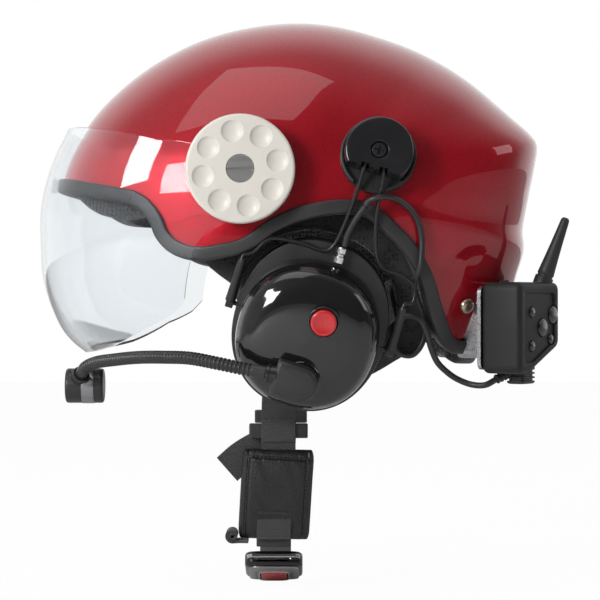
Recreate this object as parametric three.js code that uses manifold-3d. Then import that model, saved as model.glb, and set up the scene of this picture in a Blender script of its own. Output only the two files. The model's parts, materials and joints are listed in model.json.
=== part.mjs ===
// Paramotor helmet: a fibreglass shell with a flip-up visor, ear cups on wire arms that swing out,
// a boom microphone with a talk button, a clip-on intercom and a chin strap with a quick buckle.
// Millimetres, +Z up. The face looks along -Y and the wearer's left is +X.
// The origin is where the crown of the head seats inside the helmet.
import * as THREE from 'three';
import { mergeVertices } from 'three/addons/utils/BufferGeometryUtils.js';
import Module from 'manifold-3d';

const wasm = await Module();
wasm.setup();

// Clearances shared by all pieces
const gap = 0.3; // between pieces that touch
const overrun = 6; // how far a cutting solid runs past what it cuts

// Shell
const shell = {
  crownRise: 38, // outer crown above the head seat
  poleBack: 6, // side pole behind the head seat
  crownRadius: 103, // side pole to the outer crown
  halfWidth: 112,
  wall: 4,
};
// Side outline: radius from the side pole as a share of the crown radius, by angle from the rear upwards
const outlineShares = [
  [-90, 1.53], [-60, 1.46], [-40, 1.32], [-32, 1.28], [-21, 1.243], [-14, 1.236], [-9, 1.206], [0, 1.223],
  [7, 1.262], [12.5, 1.301], [15, 1.286], [21, 1.218], [28, 1.16], [42, 1.085], [56, 1.029], [70, 0.996],
  [90, 1], [110, 1.038], [131, 1.128], [147, 1.226], [161, 1.33], [175, 1.42], [190, 1.44], [235, 1.476],
];
// Squareness of the cross section by the same angle: 2 is an ellipse, 4 has marked corners
const squarenessShares = [
  [-60, 2.8], [-25, 3.4], [5, 4], [14, 3.8], [30, 3], [50, 2.4], [90, 2.3], [160, 2.3], [235, 2.6],
];
// Rim in side view, from the temple round the ear arch to the rear lobe, as shares of the crown radius
const rimShares = [
  [-0.945, -0.032], [-0.876, -0.078], [-0.821, -0.152], [-0.789, -0.227], [-0.736, -0.285],
  [-0.661, -0.322], [-0.572, -0.333], [-0.482, -0.322], [-0.376, -0.299], [-0.296, -0.259],
  [-0.217, -0.199], [-0.138, -0.159], [-0.058, -0.128], [0.116, -0.093], [0.264, -0.096],
  [0.338, -0.133], [0.401, -0.188], [0.523, -0.316], [0.598, -0.447], [0.652, -0.619],
  [0.695, -0.737], [0.717, -0.785], [0.758, -0.821], [0.801, -0.829], [0.869, -0.814],
];
const browEndShares = [-1.5, 0.086]; // the brow line runs towards this place past the middle plane
const napeEndShares = [1.25, -0.838]; // and the nape line towards this one
const rimSteps = { side: 25, brow: 6, nape: 5, setbackFit: 0.95 };
const shellGrid = { around: 30, across: 13 };
const linerGrid = { around: 16, across: 7 };

// Rear vent, an arched window with a mesh behind it
const rearVent = { halfWidth: 22, sill: -62.5, crown: -48.5, archSteps: 8, meshInset: 1.8, meshWall: 1.2 };
// Trim: a U of rubber with a thick lip
const trim = {
  leg: 4.2, outer: 1.9, inner: 1.4, outerFit: 1.2, innerFit: 1.2, rimFit: 2.8, lip: 3.8, round: 1.3,
};

// Foam liner and comfort liner
const foam = { fit: 2.6, crown: 25, side: 17.5, squareness: 2.2, rimSetback: 10 };
const liner = { thickness: 9 };
const padding = { depth: 24, reach: 2, back: 4, taper: 5, round: 0.6, browDrop: 11 };
const browDropShares = { start: -1.42, span: 0.56 }; // where the brow padding hangs lower
const surround = { from: 85.6, thickness: 4, rimFit: 2.6, cupFit: 5 };
// Lower edges of the ear surround, behind and in front of the cup, as shares of the crown radius
const flapShares = [[0.622, -0.72], [0.594, -0.826], [0.559, -0.883], [0.479, -0.899], [0.403, -0.872]];
const cheekShares = [[-0.445, -0.481], [-0.579, -0.373]];
const neckRoll = { top: 4.6, bottom: 16, outer: -4, inner: -15, round: 3 };

// Visor, a bubble about its own pivot
const pivot = { y: -32, z: -54 };
const visor = { radius: 126, halfWidth: 116.5, wall: 2.2, squareness: 2.8, tab: 26 };
const visorShares = [
  [-90, 1], [0, 0.86], [90, 0.82], [140, 0.825], [165, 0.85], [173, 0.883], [182, 0.925], [190, 0.962],
  [199, 1], [206, 1.043], [214, 1.078], [221, 1.1], [228, 1.09], [240, 1.05],
];
const visorTopShares = [[-1.25, 0.304], [-0.82, 0.219], [-0.358, 0.128]];
const visorBottomShares = [
  [-0.083, -0.226], [-0.143, -0.261], [-0.195, -0.325], [-0.217, -0.394], [-0.234, -0.486],
  [-0.245, -0.563], [-0.296, -0.619], [-0.414, -0.677], [-0.52, -0.74], [-0.578, -0.767],
  [-0.736, -0.799], [-1.25, -0.84],
];
const visorGrid = { around: 26, across: 9, poleTilt: 81 };
const tabArc = { from: 150, to: -98, steps: 9, ringSteps: 36 };

// Visor cover, base and screw
const cover = { radius: 29.4, thickness: 9.2, edge: 1.6, sides: 24 };
const dimple = {
  count: 8, radius: 5.7, depth: 2.3, pitch: 20.4, turn: 12, sides: 6, floorRadius: 3.5, floorDepth: 1.6,
};
const visorBase = { radius: 27.4, boss: 4.7, fit: 1 };
const visorScrew = {
  head: 7.3, headGap: 0.45, headThickness: 2.8, shank: 3, end: 96, slotWidth: 1.3, slotDepth: 1.1,
};

// Cup mount: base, cap and screw, square to the shell
const mount = {
  y: 42.2, z: -47, baseRadius: 20.6, baseHeight: 6, floor: 3, wall: 1.7, rootDepth: 14,
  capTop: 17, capEdge: 1.8, chord: -10.4, chordWall: 1.5, pitch: 16.5,
  axleHeight: 10.5, axleDrop: -6.3, wireSpread: 5, slotWidth: 4.4, slotFloor: 6.6,
  pocketHalf: 8.6, pocketTop: 13.8, pocketRear: -2.8, notchHalf: 9,
};
const mountScrew = {
  head: 4, recess: 4.8, recessDepth: 2.4, shank: 2, end: -5, cross: 0.9, crossLength: 2.6, crossDepth: 1.2,
};

// Ear cup, about its own tilt axis: x outwards, y to the rear, z up
const cup = {
  axisX: 102, y: 5.4, z: -138.6, pitch: 17, restTilt: 10,
  halfWidth: 41.8, halfHeight: 47.5, squareness: 2.2, plateBack: -3, plateFront: 1,
  pinRadius: 1.3, pinReach: 47.7, soundHole: 17, steps: 20,
};
const dome = { halfWidth: 38.6, halfHeight: 40, drop: -3.2, wall: 2.4, depth: 33 };
// Dome sections: share of the depth, share of the outline
const domeShares = [[0, 1], [0.32, 1], [0.62, 0.95], [0.82, 0.81], [0.95, 0.5]];
const cushion = { thickness: 15.4, holeHalfWidth: 21, holeHalfHeight: 26, bulge: 1.2, pinch: 1.6, rows: 8 };
const speaker = { radius: 20, thickness: 8, coneRadius: 15, coneDepth: 3 };

// Wire arm
const wire = {
  radius: 1.1, sides: 4, plane: 10.5, barZ: 41.6, sleeveY: 45.6, sleeveTop: 24, sleeveRadius: 2.3,
  eyeRadius: 3.2, eyeHalf: 2.1, eyeHole: 1.65, steps: 26,
};
// Its bends from the mount down to each sleeve, as shares of the sleeve's and the cross bar's distance
const wireFrontShares = [[0.06, 1.73], [-0.01, 1.1], [-0.08, 1], [-0.4, 1], [-0.76, 0.93], [-0.9, 0.7]];
const wireRearShares = [[0.38, 1.56], [0.53, 1.1], [0.63, 1], [0.87, 0.98], [1.05, 0.88], [1.08, 0.68]];

// Talk button and its collar
const talk = {
  y: 6.1, z: 11.1, collar: 8.4, collarTop: 38.4, bore: 7.3, radius: 6.9, floor: 33, root: 5, top: 42,
  travel: 2.5,
};

// Boom: housing on the cup, gooseneck and microphone
const boom = {
  y: 3.7, z: -23.8, seatRadius: 10.5, radius: 9.4, height: 10.6, length: 14.5, edge: 2.4,
  ferrule: 4.6, ferruleLength: 4.5, reach: 110,
};
const gooseneck = { radius: 3.65, groove: 0.55, bore: 1.6, ribs: 30, sides: 8, boreEvery: 5 };
// Its bends from the housing's mouth to the microphone, as shares of its reach
const gooseneckShares = [
  [0, 0, 0], [-0.02, -0.115, 0.02], [-0.064, -0.243, 0.045], [-0.145, -0.373, 0.066], [-0.255, -0.506, 0.068],
  [-0.4, -0.644, 0.063], [-0.573, -0.786, 0.046], [-0.709, -0.888, 0.028], [-0.8, -0.95, 0],
  [-0.85, -0.976, -0.034],
];
const mic = { radius: 10, length: 22, edge: 1.6, collar: 4.9, sides: 16, drop: 14, back: 6.5 };

// Ear lead: radius and its hand-chosen routes
const lead = { radius: 1.7, sides: 8, cupSteps: 5, shellSteps: 34, plugSteps: 7, joint: 0.4 };
const leadOnCup = [[114.1, 24, -95.3], [115.4, 25.6, -89.4], [118, 30, -81], [120.6, 35, -74]];
const leadOnShell = [
  [122.8, 39.4, -70.2], [123.2, 44.4, -69.1], [121.8, 49.6, -69.6], [118.8, 55, -72],
  [115.8, 60.2, -76.4], [113.8, 64, -83], [113, 65.8, -91], [113, 65.8, -99], [112.6, 64.8, -107],
  [108.6, 62, -114.6], [101.6, 63.4, -122.6], [97, 66.4, -130.6], [95.4, 68.4, -140], [95, 66.6, -149],
  [94.6, 61.4, -154.6], [94.8, 54.6, -153.4], [96.4, 51, -145.6], [99, 52.8, -137.4], [101.2, 58.8, -133],
  [102, 65.2, -135], [101.6, 69.2, -142.4], [100, 71.8, -151], [97, 75.4, -158.6], [94, 80.8, -164],
];
const leadToPlug = [[92.6, 86, -167.6], [93.6, 94, -170.8], [97, 101.4, -171], [95.9, 107.6, -168]];
const hook = { radius: 3, length: 9.4, y: 4.5, fit: 0.3 };

// Intercom: clamp on the rear left corner, x outwards from the shell, y along the panel, z up
const intercom = {
  x: 90, y: 121.8, z: -139.6, turn: 55, width: 46, height: 50, thickness: 24, corner: 5, edge: 3,
  cutRise: 15, cutRun: 40, panelInset: 1.2, panelMargin: 6,
};
const clamp = {
  plateWidth: 46, plateHeight: 46, plate: 2.2, blockWidth: 24, blockHeight: 34, blockDepth: 30, corner: 4,
};
const latch = { width: 8, height: 8, proud: 3.4, travel: 1.5, offset: 5 };
const antenna = {
  x: 5, y: 16, base: 4.7, tip: 2.5, length: 38, lean: 20, collar: 5.2, collarHeight: 3, root: 4,
};
const keys = { proud: 1, depth: 3.2, travel: 0.8, fit: 0.35 };
// Keys: place on the panel as shares of its width and height, and the radius
const keyShares = [
  { name: 'key_answer', y: 0.1, z: 0.0, radius: 5 }, { name: 'key_menu', y: 0.36, z: 0.14, radius: 5 },
  { name: 'key_up', y: -0.16, z: 0.17, radius: 2.8 }, { name: 'key_down', y: -0.16, z: -0.2, radius: 2.8 },
  { name: 'key_pair', y: 0.3, z: -0.13, radius: 2.8 },
];
const plug = {
  width: 15, depth: 11, height: 19, corner: 2.5, neck: 3, y: 0, top: -12, ribs: 3, ribHalf: 0.7, groove: 0.9,
};

// Chin strap: webbing that hangs straight at the slider, a chin pad and a buckle under the chin
const strap = {
  width: 19, thickness: 2, x: 73, y: -12, top: -174, bottom: -210, steps: 16, longSteps: 24, rearSteps: 8,
  rootShare: 0.31, rearShare: 0.82, standoff: 3, rootFit: 1.2,
};
const frontLegRoute = [[79.6, -27.6, -112], [76.4, -22, -136], [73.9, -15, -159]];
const strapRoute = [[72.4, -12.8, -222], [69.6, -13.9, -240], [66.2, -14.7, -254], [63.8, -15, -263.4]];
const strapEndRoute = [
  [72.4, -12.8, -222], [69, -14, -240], [61, -14.9, -258], [46, -15, -273.6], [26, -15, -283.4],
  [8, -15, -287.4], [-4, -15, -287.8], [-14.4, -15, -284.6],
];
const rearLegRoute = [[78, 62, -139], [75.6, 44, -153], [73.4, 22, -164], [73, -7, -173]];
const anchor = { y: 91.9, z: -127.7, radius: 4.4, rise: 2.2, shank: 1.6, end: -9 };
const anchorDomeShares = [[1, 0], [0.85, 0.6], [0.5, 0.92], [0, 1]]; // radius and rise of the rivet's head
const slider = { halfWidth: 16.4, height: 8, wall: 2, z: -197.5, fit: 0.4 };
const pad = {
  halfWidth: 20, thickness: 8, startShare: 0.1, endShare: 0.86, corner: 2.4, crown: 1.4, rows: 9, round: 0.8,
};
const tongue = { loopWidth: 30, thickness: 2, bar: 2.6, loop: 7, blade: 15, length: 26 };
const buckle = {
  x: 62.2, y: -15, z: -268.6, slope: 18, width: 33, length: 40, thickness: 9.6, corner: 7, edge: 2,
  mouthWidth: 17, mouthHeight: 3, mouthDepth: 22,
};
const release = { width: 15, length: 24, depth: 3, proud: 0.8, travel: 2, fit: 0.4, corner: 5 };

// Angles and vectors
const degrees = 180 / Math.PI;
const radians = Math.PI / 180;
const vector = (x, y, z) => new THREE.Vector3(x, y, z);

/** Value at an angle in degrees on a smooth closed curve through rows of [angle, value]. */
function ringValue(rows, angle) {
  const first = rows[0][0];
  const turned = ((((angle - first) % 360) + 360) % 360) + first;
  const index = rows.findLastIndex((row) => row[0] <= turned);
  const row = (k) => {
    const lap = Math.floor(k / rows.length);
    const [at, value] = rows[k - lap * rows.length];
    return [at + 360 * lap, value];
  };
  const [before, start, end, after] = [row(index - 1), row(index), row(index + 1), row(index + 2)];
  const span = end[0] - start[0];
  const t = (turned - start[0]) / span;
  const startSlope = ((end[1] - before[1]) / (end[0] - before[0])) * span;
  const endSlope = ((after[1] - start[1]) / (after[0] - start[0])) * span;
  const rise = end[1] - start[1];
  return start[1] + t * startSlope + t * t * (3 * rise - 2 * startSlope - endSlope)
    + t * t * t * (startSlope + endSlope - 2 * rise);
}

// Solids: three.js geometry to a closed solid for joining and cutting, and back
function solidOf(geometry) {
  const bare = new THREE.BufferGeometry();
  bare.setAttribute('position', geometry.getAttribute('position').clone());
  if (geometry.index) bare.setIndex(geometry.index.clone());
  const merged = mergeVertices(bare, 1e-4);
  return new wasm.Manifold(new wasm.Mesh({
    numProp: 3,
    vertProperties: Float32Array.from(merged.getAttribute('position').array),
    triVerts: Uint32Array.from(merged.index.array),
  }));
}

function geometryOf(solid) {
  const { vertProperties, triVerts, numProp } = solid.getMesh();
  const positions = [];
  for (let k = 0; k < vertProperties.length; k += numProp) positions.push(...vertProperties.slice(k, k + 3));
  const geometry = new THREE.BufferGeometry();
  geometry.setAttribute('position', new THREE.Float32BufferAttribute(positions, 3));
  geometry.setIndex([...triVerts]);
  return geometry;
}

const cut = (body, ...tools) => geometryOf(
  tools.reduce((left, tool) => left.subtract(solidOf(tool)), solidOf(body)),
);
const join = (...bodies) => geometryOf(
  bodies.slice(1).reduce((sum, body) => sum.add(solidOf(body)), solidOf(bodies[0])),
);
const common = (...bodies) => geometryOf(
  bodies.slice(1).reduce((sum, body) => sum.intersect(solidOf(body)), solidOf(bodies[0])),
);

/** Turns a closed surface's faces outwards, by the sign of the volume that it holds. */
function outward(geometry) {
  const position = geometry.getAttribute('position');
  const index = geometry.index.array;
  const [a, b, c] = [vector(0, 0, 0), vector(0, 0, 0), vector(0, 0, 0)];
  let volume = 0;
  for (let k = 0; k < index.length; k += 3) {
    a.fromBufferAttribute(position, index[k]);
    b.fromBufferAttribute(position, index[k + 1]);
    c.fromBufferAttribute(position, index[k + 2]);
    volume += a.dot(b.cross(c));
  }
  if (volume < 0) {
    for (let k = 0; k < index.length; k += 3) [index[k], index[k + 1]] = [index[k + 1], index[k]];
  }
  return geometry;
}

/** Closed skin over rings of points; an open row of rings is capped at a middle point or at the one given. */
function skin(rings, { loop = false, start, end } = {}) {
  const count = rings[0].length;
  const points = rings.flat();
  const faces = [];
  for (let i = 0; i < rings.length - (loop ? 0 : 1); i += 1) {
    const next = (i + 1) % rings.length;
    for (let k = 0; k < count; k += 1) {
      const side = (k + 1) % count;
      faces.push(i * count + k, i * count + side, next * count + side);
      faces.push(i * count + k, next * count + side, next * count + k);
    }
  }
  if (!loop) {
    const middle = (ring) => ring.reduce((sum, p) => sum.add(p), vector(0, 0, 0)).multiplyScalar(1 / count);
    const last = (rings.length - 1) * count;
    points.push(start ?? middle(rings[0]), end ?? middle(rings.at(-1)));
    for (let k = 0; k < count; k += 1) {
      const side = (k + 1) % count;
      faces.push(side, k, points.length - 2);
      faces.push(last + k, last + side, points.length - 1);
    }
  }
  const geometry = new THREE.BufferGeometry();
  geometry.setAttribute('position', new THREE.Float32BufferAttribute(points.flatMap((p) => p.toArray()), 3));
  geometry.setIndex(faces);
  return outward(geometry);
}

// Basic shapes along X, which points outwards on every side assembly
const sideways = new THREE.Matrix4().makeBasis(vector(0, 1, 0), vector(0, 0, 1), vector(1, 0, 0));
const upright = sideways.clone().invert();

/** Plate with a side-view outline of [y, z] points, from one x to another. */
function plate(outline, from, to, holes = []) {
  const shape = new THREE.Shape(outline.map(([y, z]) => new THREE.Vector2(y, z)));
  shape.holes = holes.map((hole) => new THREE.Path(hole.map(([y, z]) => new THREE.Vector2(y, z))));
  const geometry = new THREE.ExtrudeGeometry(shape, { depth: to - from, bevelEnabled: false });
  return geometry.applyMatrix4(sideways).translate(from, 0, 0);
}

/** Solid of revolution about X through a profile of [radius, x] points that starts and ends on the axis. */
function turned(profile, sides) {
  const points = profile.map(([r, x]) => new THREE.Vector2(r, x));
  const geometry = new THREE.LatheGeometry(points, sides);
  geometry.rotateZ(-Math.PI / 2);
  return outward(indexed(geometry));
}

function indexed(geometry) {
  const bare = new THREE.BufferGeometry();
  bare.setAttribute('position', geometry.getAttribute('position'));
  if (geometry.index) bare.setIndex(geometry.index);
  return mergeVertices(bare, 1e-4);
}

const drum = (radius, from, to, sides = 14) => turned(
  [[0, from], [radius, from], [radius, to], [0, to]], sides,
);
const box = (x0, x1, y0, y1, z0, z1) => new THREE.BoxGeometry(x1 - x0, y1 - y0, z1 - z0)
  .translate((x0 + x1) / 2, (y0 + y1) / 2, (z0 + z1) / 2);

/** Rounded rectangle of [y, z] points about a middle. */
function roundedOutline(width, height, corner, steps = 4) {
  const points = [];
  [[1, 1, 0], [-1, 1, 90], [-1, -1, 180], [1, -1, 270]].forEach(([sy, sz, start]) => {
    for (let k = 0; k <= steps; k += 1) {
      const angle = (start + (90 * k) / steps) * radians;
      points.push([
        sy * (width / 2 - corner) + corner * Math.cos(angle),
        sz * (height / 2 - corner) + corner * Math.sin(angle),
      ]);
    }
  });
  return points;
}

/** Superellipse of [y, z] points. */
function oval(halfWidth, halfHeight, squareness, steps, dy = 0, dz = 0) {
  return Array.from({ length: steps }, (_, k) => {
    const angle = (2 * Math.PI * k) / steps;
    const [c, s] = [Math.cos(angle), Math.sin(angle)];
    const power = 2 / squareness;
    return [
      dy + halfWidth * Math.sign(c) * Math.abs(c) ** power,
      dz + halfHeight * Math.sign(s) * Math.abs(s) ** power,
    ];
  });
}

/** Slab along X with softened edges, from an outline of [y, z] points given for any inset. */
function softSlab(outlineAt, from, to, edge) {
  const levels = [[from, edge], [from + edge / 2, 0], [to - edge / 2, 0], [to, edge]];
  return skin(levels.map(([x, inset]) => outlineAt(inset).map(([y, z]) => vector(x, y, z))));
}

/** Round bar between two places. */
function bar(radius, from, to, sides = 16) {
  const axis = to.clone().sub(from);
  const geometry = drum(radius, 0, axis.length(), sides);
  geometry.applyQuaternion(new THREE.Quaternion().setFromUnitVectors(vector(1, 0, 0), axis.normalize()));
  return geometry.translate(from.x, from.y, from.z);
}

/** Round tube along a smooth curve through places. */
function tube(places, radius, sides, steps) {
  const section = new THREE.Shape(
    Array.from({ length: sides }, (_, k) => {
      const angle = (2 * Math.PI * k) / sides;
      return new THREE.Vector2(radius * Math.cos(angle), radius * Math.sin(angle));
    }),
  );
  const extrudePath = new THREE.CatmullRomCurve3(places, false, 'centripetal');
  return outward(indexed(new THREE.ExtrudeGeometry(section, { steps, extrudePath, bevelEnabled: false })));
}

/** Flat webbing along a route: its width lies along the given direction at every place. */
function webbing(places, width, thickness, across, steps) {
  const curve = new THREE.CatmullRomCurve3(places, false, 'centripetal');
  const rings = curve.getSpacedPoints(steps).map((point, k) => {
    const along = curve.getTangentAt(k / steps);
    const wide = across.clone().addScaledVector(along, -across.dot(along)).normalize();
    const thick = along.clone().cross(wide);
    return [[-1, -1], [1, -1], [1, 1], [-1, 1]].map(([w, t]) => point.clone()
      .addScaledVector(wide, (w * width) / 2).addScaledVector(thick, (t * thickness) / 2));
  });
  return skin(rings);
}

// Domes: a side outline swept across the helmet, narrowing to a pole on each side
const domeRadius = (form, angle, inset) => form.radius(angle) - inset;

function domePoint(form, angle, tilt, inset) {
  const power = 2 / form.squareness(angle);
  const reach = domeRadius(form, angle, inset) * Math.cos(tilt * radians) ** power;
  const side = (form.halfWidth - inset) * Math.sign(tilt) * Math.abs(Math.sin(tilt * radians)) ** power;
  return vector(side, form.y + reach * Math.cos(angle * radians), form.z + reach * Math.sin(angle * radians));
}

function domeSolid(form, inset, grid) {
  const tilts = Array.from({ length: grid.across - 1 }, (_, j) => -90 + (180 * (j + 1)) / grid.across);
  if (grid.poleTilt) {
    tilts.unshift(-grid.poleTilt);
    tilts.push(grid.poleTilt);
  }
  const rings = tilts.map((tilt) => Array.from(
    { length: grid.around }, (_, i) => domePoint(form, (360 * i) / grid.around, tilt, inset),
  ));
  const poleAt = (side) => vector(side * (form.halfWidth - inset), form.y, form.z);
  return skin(rings, { start: poleAt(-1), end: poleAt(1) });
}

/** Half width of a dome at a place in side view, and 0 outside its outline. */
function domeHalfWidth(form, y, z, inset = 0) {
  const angle = Math.atan2(z - form.z, y - form.y) * degrees;
  const share = Math.hypot(y - form.y, z - form.z) / domeRadius(form, angle, inset);
  const power = form.squareness(angle);
  return share >= 1 ? 0 : (form.halfWidth - inset) * (1 - share ** power) ** (1 / power);
}

/** 1 on the surface of a dome, less inside it, more outside. */
function domeLevel(form, p, inset = 0) {
  const angle = Math.atan2(p.z - form.z, p.y - form.y) * degrees;
  const power = form.squareness(angle);
  return (Math.hypot(p.y - form.y, p.z - form.z) / domeRadius(form, angle, inset)) ** power
    + (Math.abs(p.x) / (form.halfWidth - inset)) ** power;
}

function domeNormal(form, p) {
  const nudge = form.halfWidth / 1000;
  const slope = (axis) => domeLevel(form, p.clone().addScaledVector(axis, nudge))
    - domeLevel(form, p.clone().addScaledVector(axis, -nudge));
  return vector(slope(vector(1, 0, 0)), slope(vector(0, 1, 0)), slope(vector(0, 0, 1))).normalize();
}

// The helmet's own domes
const shellDome = {
  y: shell.poleBack,
  z: shell.crownRise - shell.crownRadius,
  halfWidth: shell.halfWidth,
  radius: (angle) => shell.crownRadius * ringValue(outlineShares, angle),
  squareness: (angle) => ringValue(squarenessShares, angle),
};
const headDome = {
  ...shellDome,
  halfWidth: shell.halfWidth - shell.wall - foam.side,
  radius: (angle) => shellDome.radius(angle) - shell.wall - foam.crown,
  squareness: () => foam.squareness,
};
const visorDome = {
  ...pivot,
  halfWidth: visor.halfWidth,
  radius: (angle) => visor.radius * ringValue(visorShares, angle),
  squareness: () => visor.squareness,
};

const outerSolid = domeSolid(shellDome, 0, shellGrid);
const innerSolid = domeSolid(shellDome, shell.wall, shellGrid);

// Rim: side-view places from the brow to the nape, and where they lie on the left half of the shell
const rimPlace = ([y, z]) => ({
  y: shellDome.y + y * shell.crownRadius, z: shellDome.z + z * shell.crownRadius,
});

/** Places on a straight rim line from a side place to the middle plane, evenly turned about the helmet. */
function lineToMiddle(from, toward, steps) {
  const along = (t) => ({ y: from.y + t * (toward.y - from.y), z: from.z + t * (toward.z - from.z) });
  const startWidth = domeHalfWidth(shellDome, from.y, from.z);
  return Array.from({ length: steps }, (_, k) => {
    const width = startWidth * Math.cos(((k + 1) / steps) * (Math.PI / 2));
    let [near, far] = [0, 1];
    for (let turn = 0; turn < 40; turn += 1) {
      const middle = (near + far) / 2;
      const place = along(middle);
      if (domeHalfWidth(shellDome, place.y, place.z) > Math.max(width, 0)) near = middle;
      else far = middle;
    }
    return { ...along(near), x: k === steps - 1 ? 0 : width };
  });
}

const rimCurve = new THREE.CatmullRomCurve3(
  rimShares.map(rimPlace).map(({ y, z }) => vector(0, y, z)), false, 'centripetal',
);
const sideRim = rimCurve.getSpacedPoints(rimSteps.side)
  .map(({ y, z }) => ({ x: domeHalfWidth(shellDome, y, z), y, z }));
const browEnd = rimPlace(browEndShares);
const napeEnd = rimPlace(napeEndShares);
const browRim = lineToMiddle(sideRim[0], browEnd, rimSteps.brow).reverse();
const napeRim = lineToMiddle(sideRim.at(-1), napeEnd, rimSteps.nape);
const leftRim = [...browRim, ...sideRim, ...napeRim];

/** Side view of everything above the rim, moved in from the rim by a setback. */
function aboveRim(setback) {
  const line = [browEnd, ...sideRim, napeEnd];
  const moved = line.map((place, k) => {
    const before = line[Math.max(k - 1, 0)];
    const after = line[Math.min(k + 1, line.length - 1)];
    const [dy, dz] = [after.y - before.y, after.z - before.z];
    const length = Math.hypot(dy, dz);
    return [place.y - (dz / length) * setback, place.z + (dy / length) * setback];
  });
  const least = setback * rimSteps.setbackFit;
  const kept = moved.filter(([y, z]) => line.every((place) => Math.hypot(y - place.y, z - place.z) >= least));
  const top = shell.crownRise + overrun;
  return [...kept, [kept.at(-1)[0], top], [kept[0][0], top]];
}

const wide = shell.halfWidth + overrun;
const rimKeep = (setback) => plate(aboveRim(setback), -wide, wide);

// Rim stations all round: place, outward normal, and the direction out past the rim
const rimLoop = [
  ...leftRim.map(({ x, y, z }) => vector(x, y, z)),
  ...leftRim.slice(1, -1).reverse().map(({ x, y, z }) => vector(-x, y, z)),
];

/** Where a line into the helmet first meets a solid. */
function facing(solid, point, outOf) {
  const mesh = new THREE.Mesh(solid, new THREE.MeshBasicMaterial({ side: THREE.DoubleSide }));
  const start = point.clone().addScaledVector(outOf, overrun);
  return new THREE.Raycaster(start, outOf.clone().negate()).intersectObject(mesh)[0].point;
}

/** Normal of the cut that makes the rim at a place: the rim is cut straight across the helmet. */
function rimCutNormal(before, place, after) {
  const side = after.clone().sub(before).setX(0);
  const line = side.length() > gap ? side : after.clone().sub(place).setX(0);
  return line.cross(vector(1, 0, 0)).normalize();
}

const rimStations = rimLoop.map((place, k) => {
  const after = rimLoop[(k + 1) % rimLoop.length];
  const before = rimLoop.at(k - 1);
  const along = after.clone().sub(before).normalize();
  const normal = domeNormal(shellDome, place);
  const out = along.clone().cross(normal).normalize();
  const flat = rimCutNormal(before, place, after);
  const outOf = normal.clone().addScaledVector(flat, -normal.dot(flat)).normalize();
  const point = facing(outerSolid, place, outOf);
  return { point, normal, out, wall: point.clone().sub(facing(innerSolid, place, outOf)).dot(normal) };
});

/** A section of [out past the rim, away from the outer surface] at a rim station. */
const rimSection = ({ point, normal, out }, section) => section
  .map(([a, d]) => point.clone().addScaledVector(out, a).addScaledVector(normal, d));

// Helmet shell with its screw holes, strap holes, rear vent and corner creases
const bothSides = (geometry) => [geometry, mirrored(geometry)];

function mirrored(geometry) {
  return outward(indexed(geometry.clone()).scale(-1, 1, 1));
}

const atPlace = (geometry, { x = 0, y, z }) => geometry.translate(x, y, z);
const innerX = shell.halfWidth / 2;
const screwHole = (radius, { y, z }) => atPlace(drum(radius, innerX, wide, 12), { y, z });

function seatFrame(y, z, pitch) {
  const origin = vector(domeHalfWidth(shellDome, y, z), y, z);
  const normal = domeNormal(shellDome, origin);
  const rearward = vector(0, Math.cos(pitch * radians), -Math.sin(pitch * radians));
  rearward.addScaledVector(normal, -rearward.dot(normal)).normalize();
  const upward = normal.clone().cross(rearward);
  return new THREE.Matrix4().makeBasis(normal, rearward, upward).setPosition(origin);
}

const mountFrame = seatFrame(mount.y, mount.z, mount.pitch);
const anchorFrame = seatFrame(anchor.y, anchor.z, 0);

function ventOutline(inset) {
  const half = rearVent.halfWidth - inset;
  const sill = rearVent.sill + inset;
  const rise = rearVent.crown - inset - sill;
  const arch = Array.from({ length: rearVent.archSteps + 1 }, (_, k) => {
    const angle = (Math.PI * k) / rearVent.archSteps;
    return new THREE.Vector2(half * Math.cos(angle), sill + rise * Math.sin(angle) ** (1 / 2));
  });
  return new THREE.Shape(arch);
}

/** A solid behind the vent outline, from the middle of the helmet out past the rear. */
function ventCut(inset) {
  const depth = 2 * shell.crownRadius;
  const geometry = new THREE.ExtrudeGeometry(ventOutline(inset), { depth, bevelEnabled: false });
  return geometry.rotateX(Math.PI / 2).translate(0, depth + shellDome.y, 0);
}

const aroundShell = domeSolid(shellDome, -gap, shellGrid);

const mountHole = drum(mountScrew.shank + gap, -shell.wall - overrun, overrun, 12).applyMatrix4(mountFrame);
const anchorHole = drum(anchor.shank + gap, -shell.wall - overrun, overrun, 12).applyMatrix4(anchorFrame);

const outerShell = cut(
  common(outerSolid, rimKeep(0)), innerSolid, ventCut(0),
  ...bothSides(screwHole(visorScrew.shank + gap, pivot)), ...bothSides(mountHole), ...bothSides(anchorHole),
);
const rearVentMesh = cut(
  common(domeSolid(shellDome, rearVent.meshInset, shellGrid), ventCut(gap)),
  domeSolid(shellDome, rearVent.meshInset + rearVent.meshWall, shellGrid),
);

// Trim round the rim, a U that grips the shell
const trimInner = trim.innerFit + trim.inner;
const trimOuter = trim.outerFit + trim.outer;
const trimRings = rimStations.map((station) => {
  const inner = -station.wall - trim.innerFit;
  return rimSection(station, [
    [-trim.leg, trim.outerFit], [trim.rimFit, trim.outerFit], [trim.rimFit, inner], [-trim.leg, inner],
    [-trim.leg, inner - trim.inner], [trim.lip, inner - trim.inner], [trim.lip, trimOuter - trim.round],
    [trim.lip - trim.round, trimOuter], [-trim.leg, trimOuter],
  ]);
});
const edgeTrim = skin(trimRings, { loop: true });
const trimEnvelope = skin(rimStations.map((station) => {
  const inner = -station.wall - trimInner - gap;
  return rimSection(station, [
    [-trim.leg - gap, inner], [trim.lip + gap, inner], [trim.lip + gap, trimOuter + gap],
    [-trim.leg - gap, trimOuter + gap],
  ]);
}), { loop: true });

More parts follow.
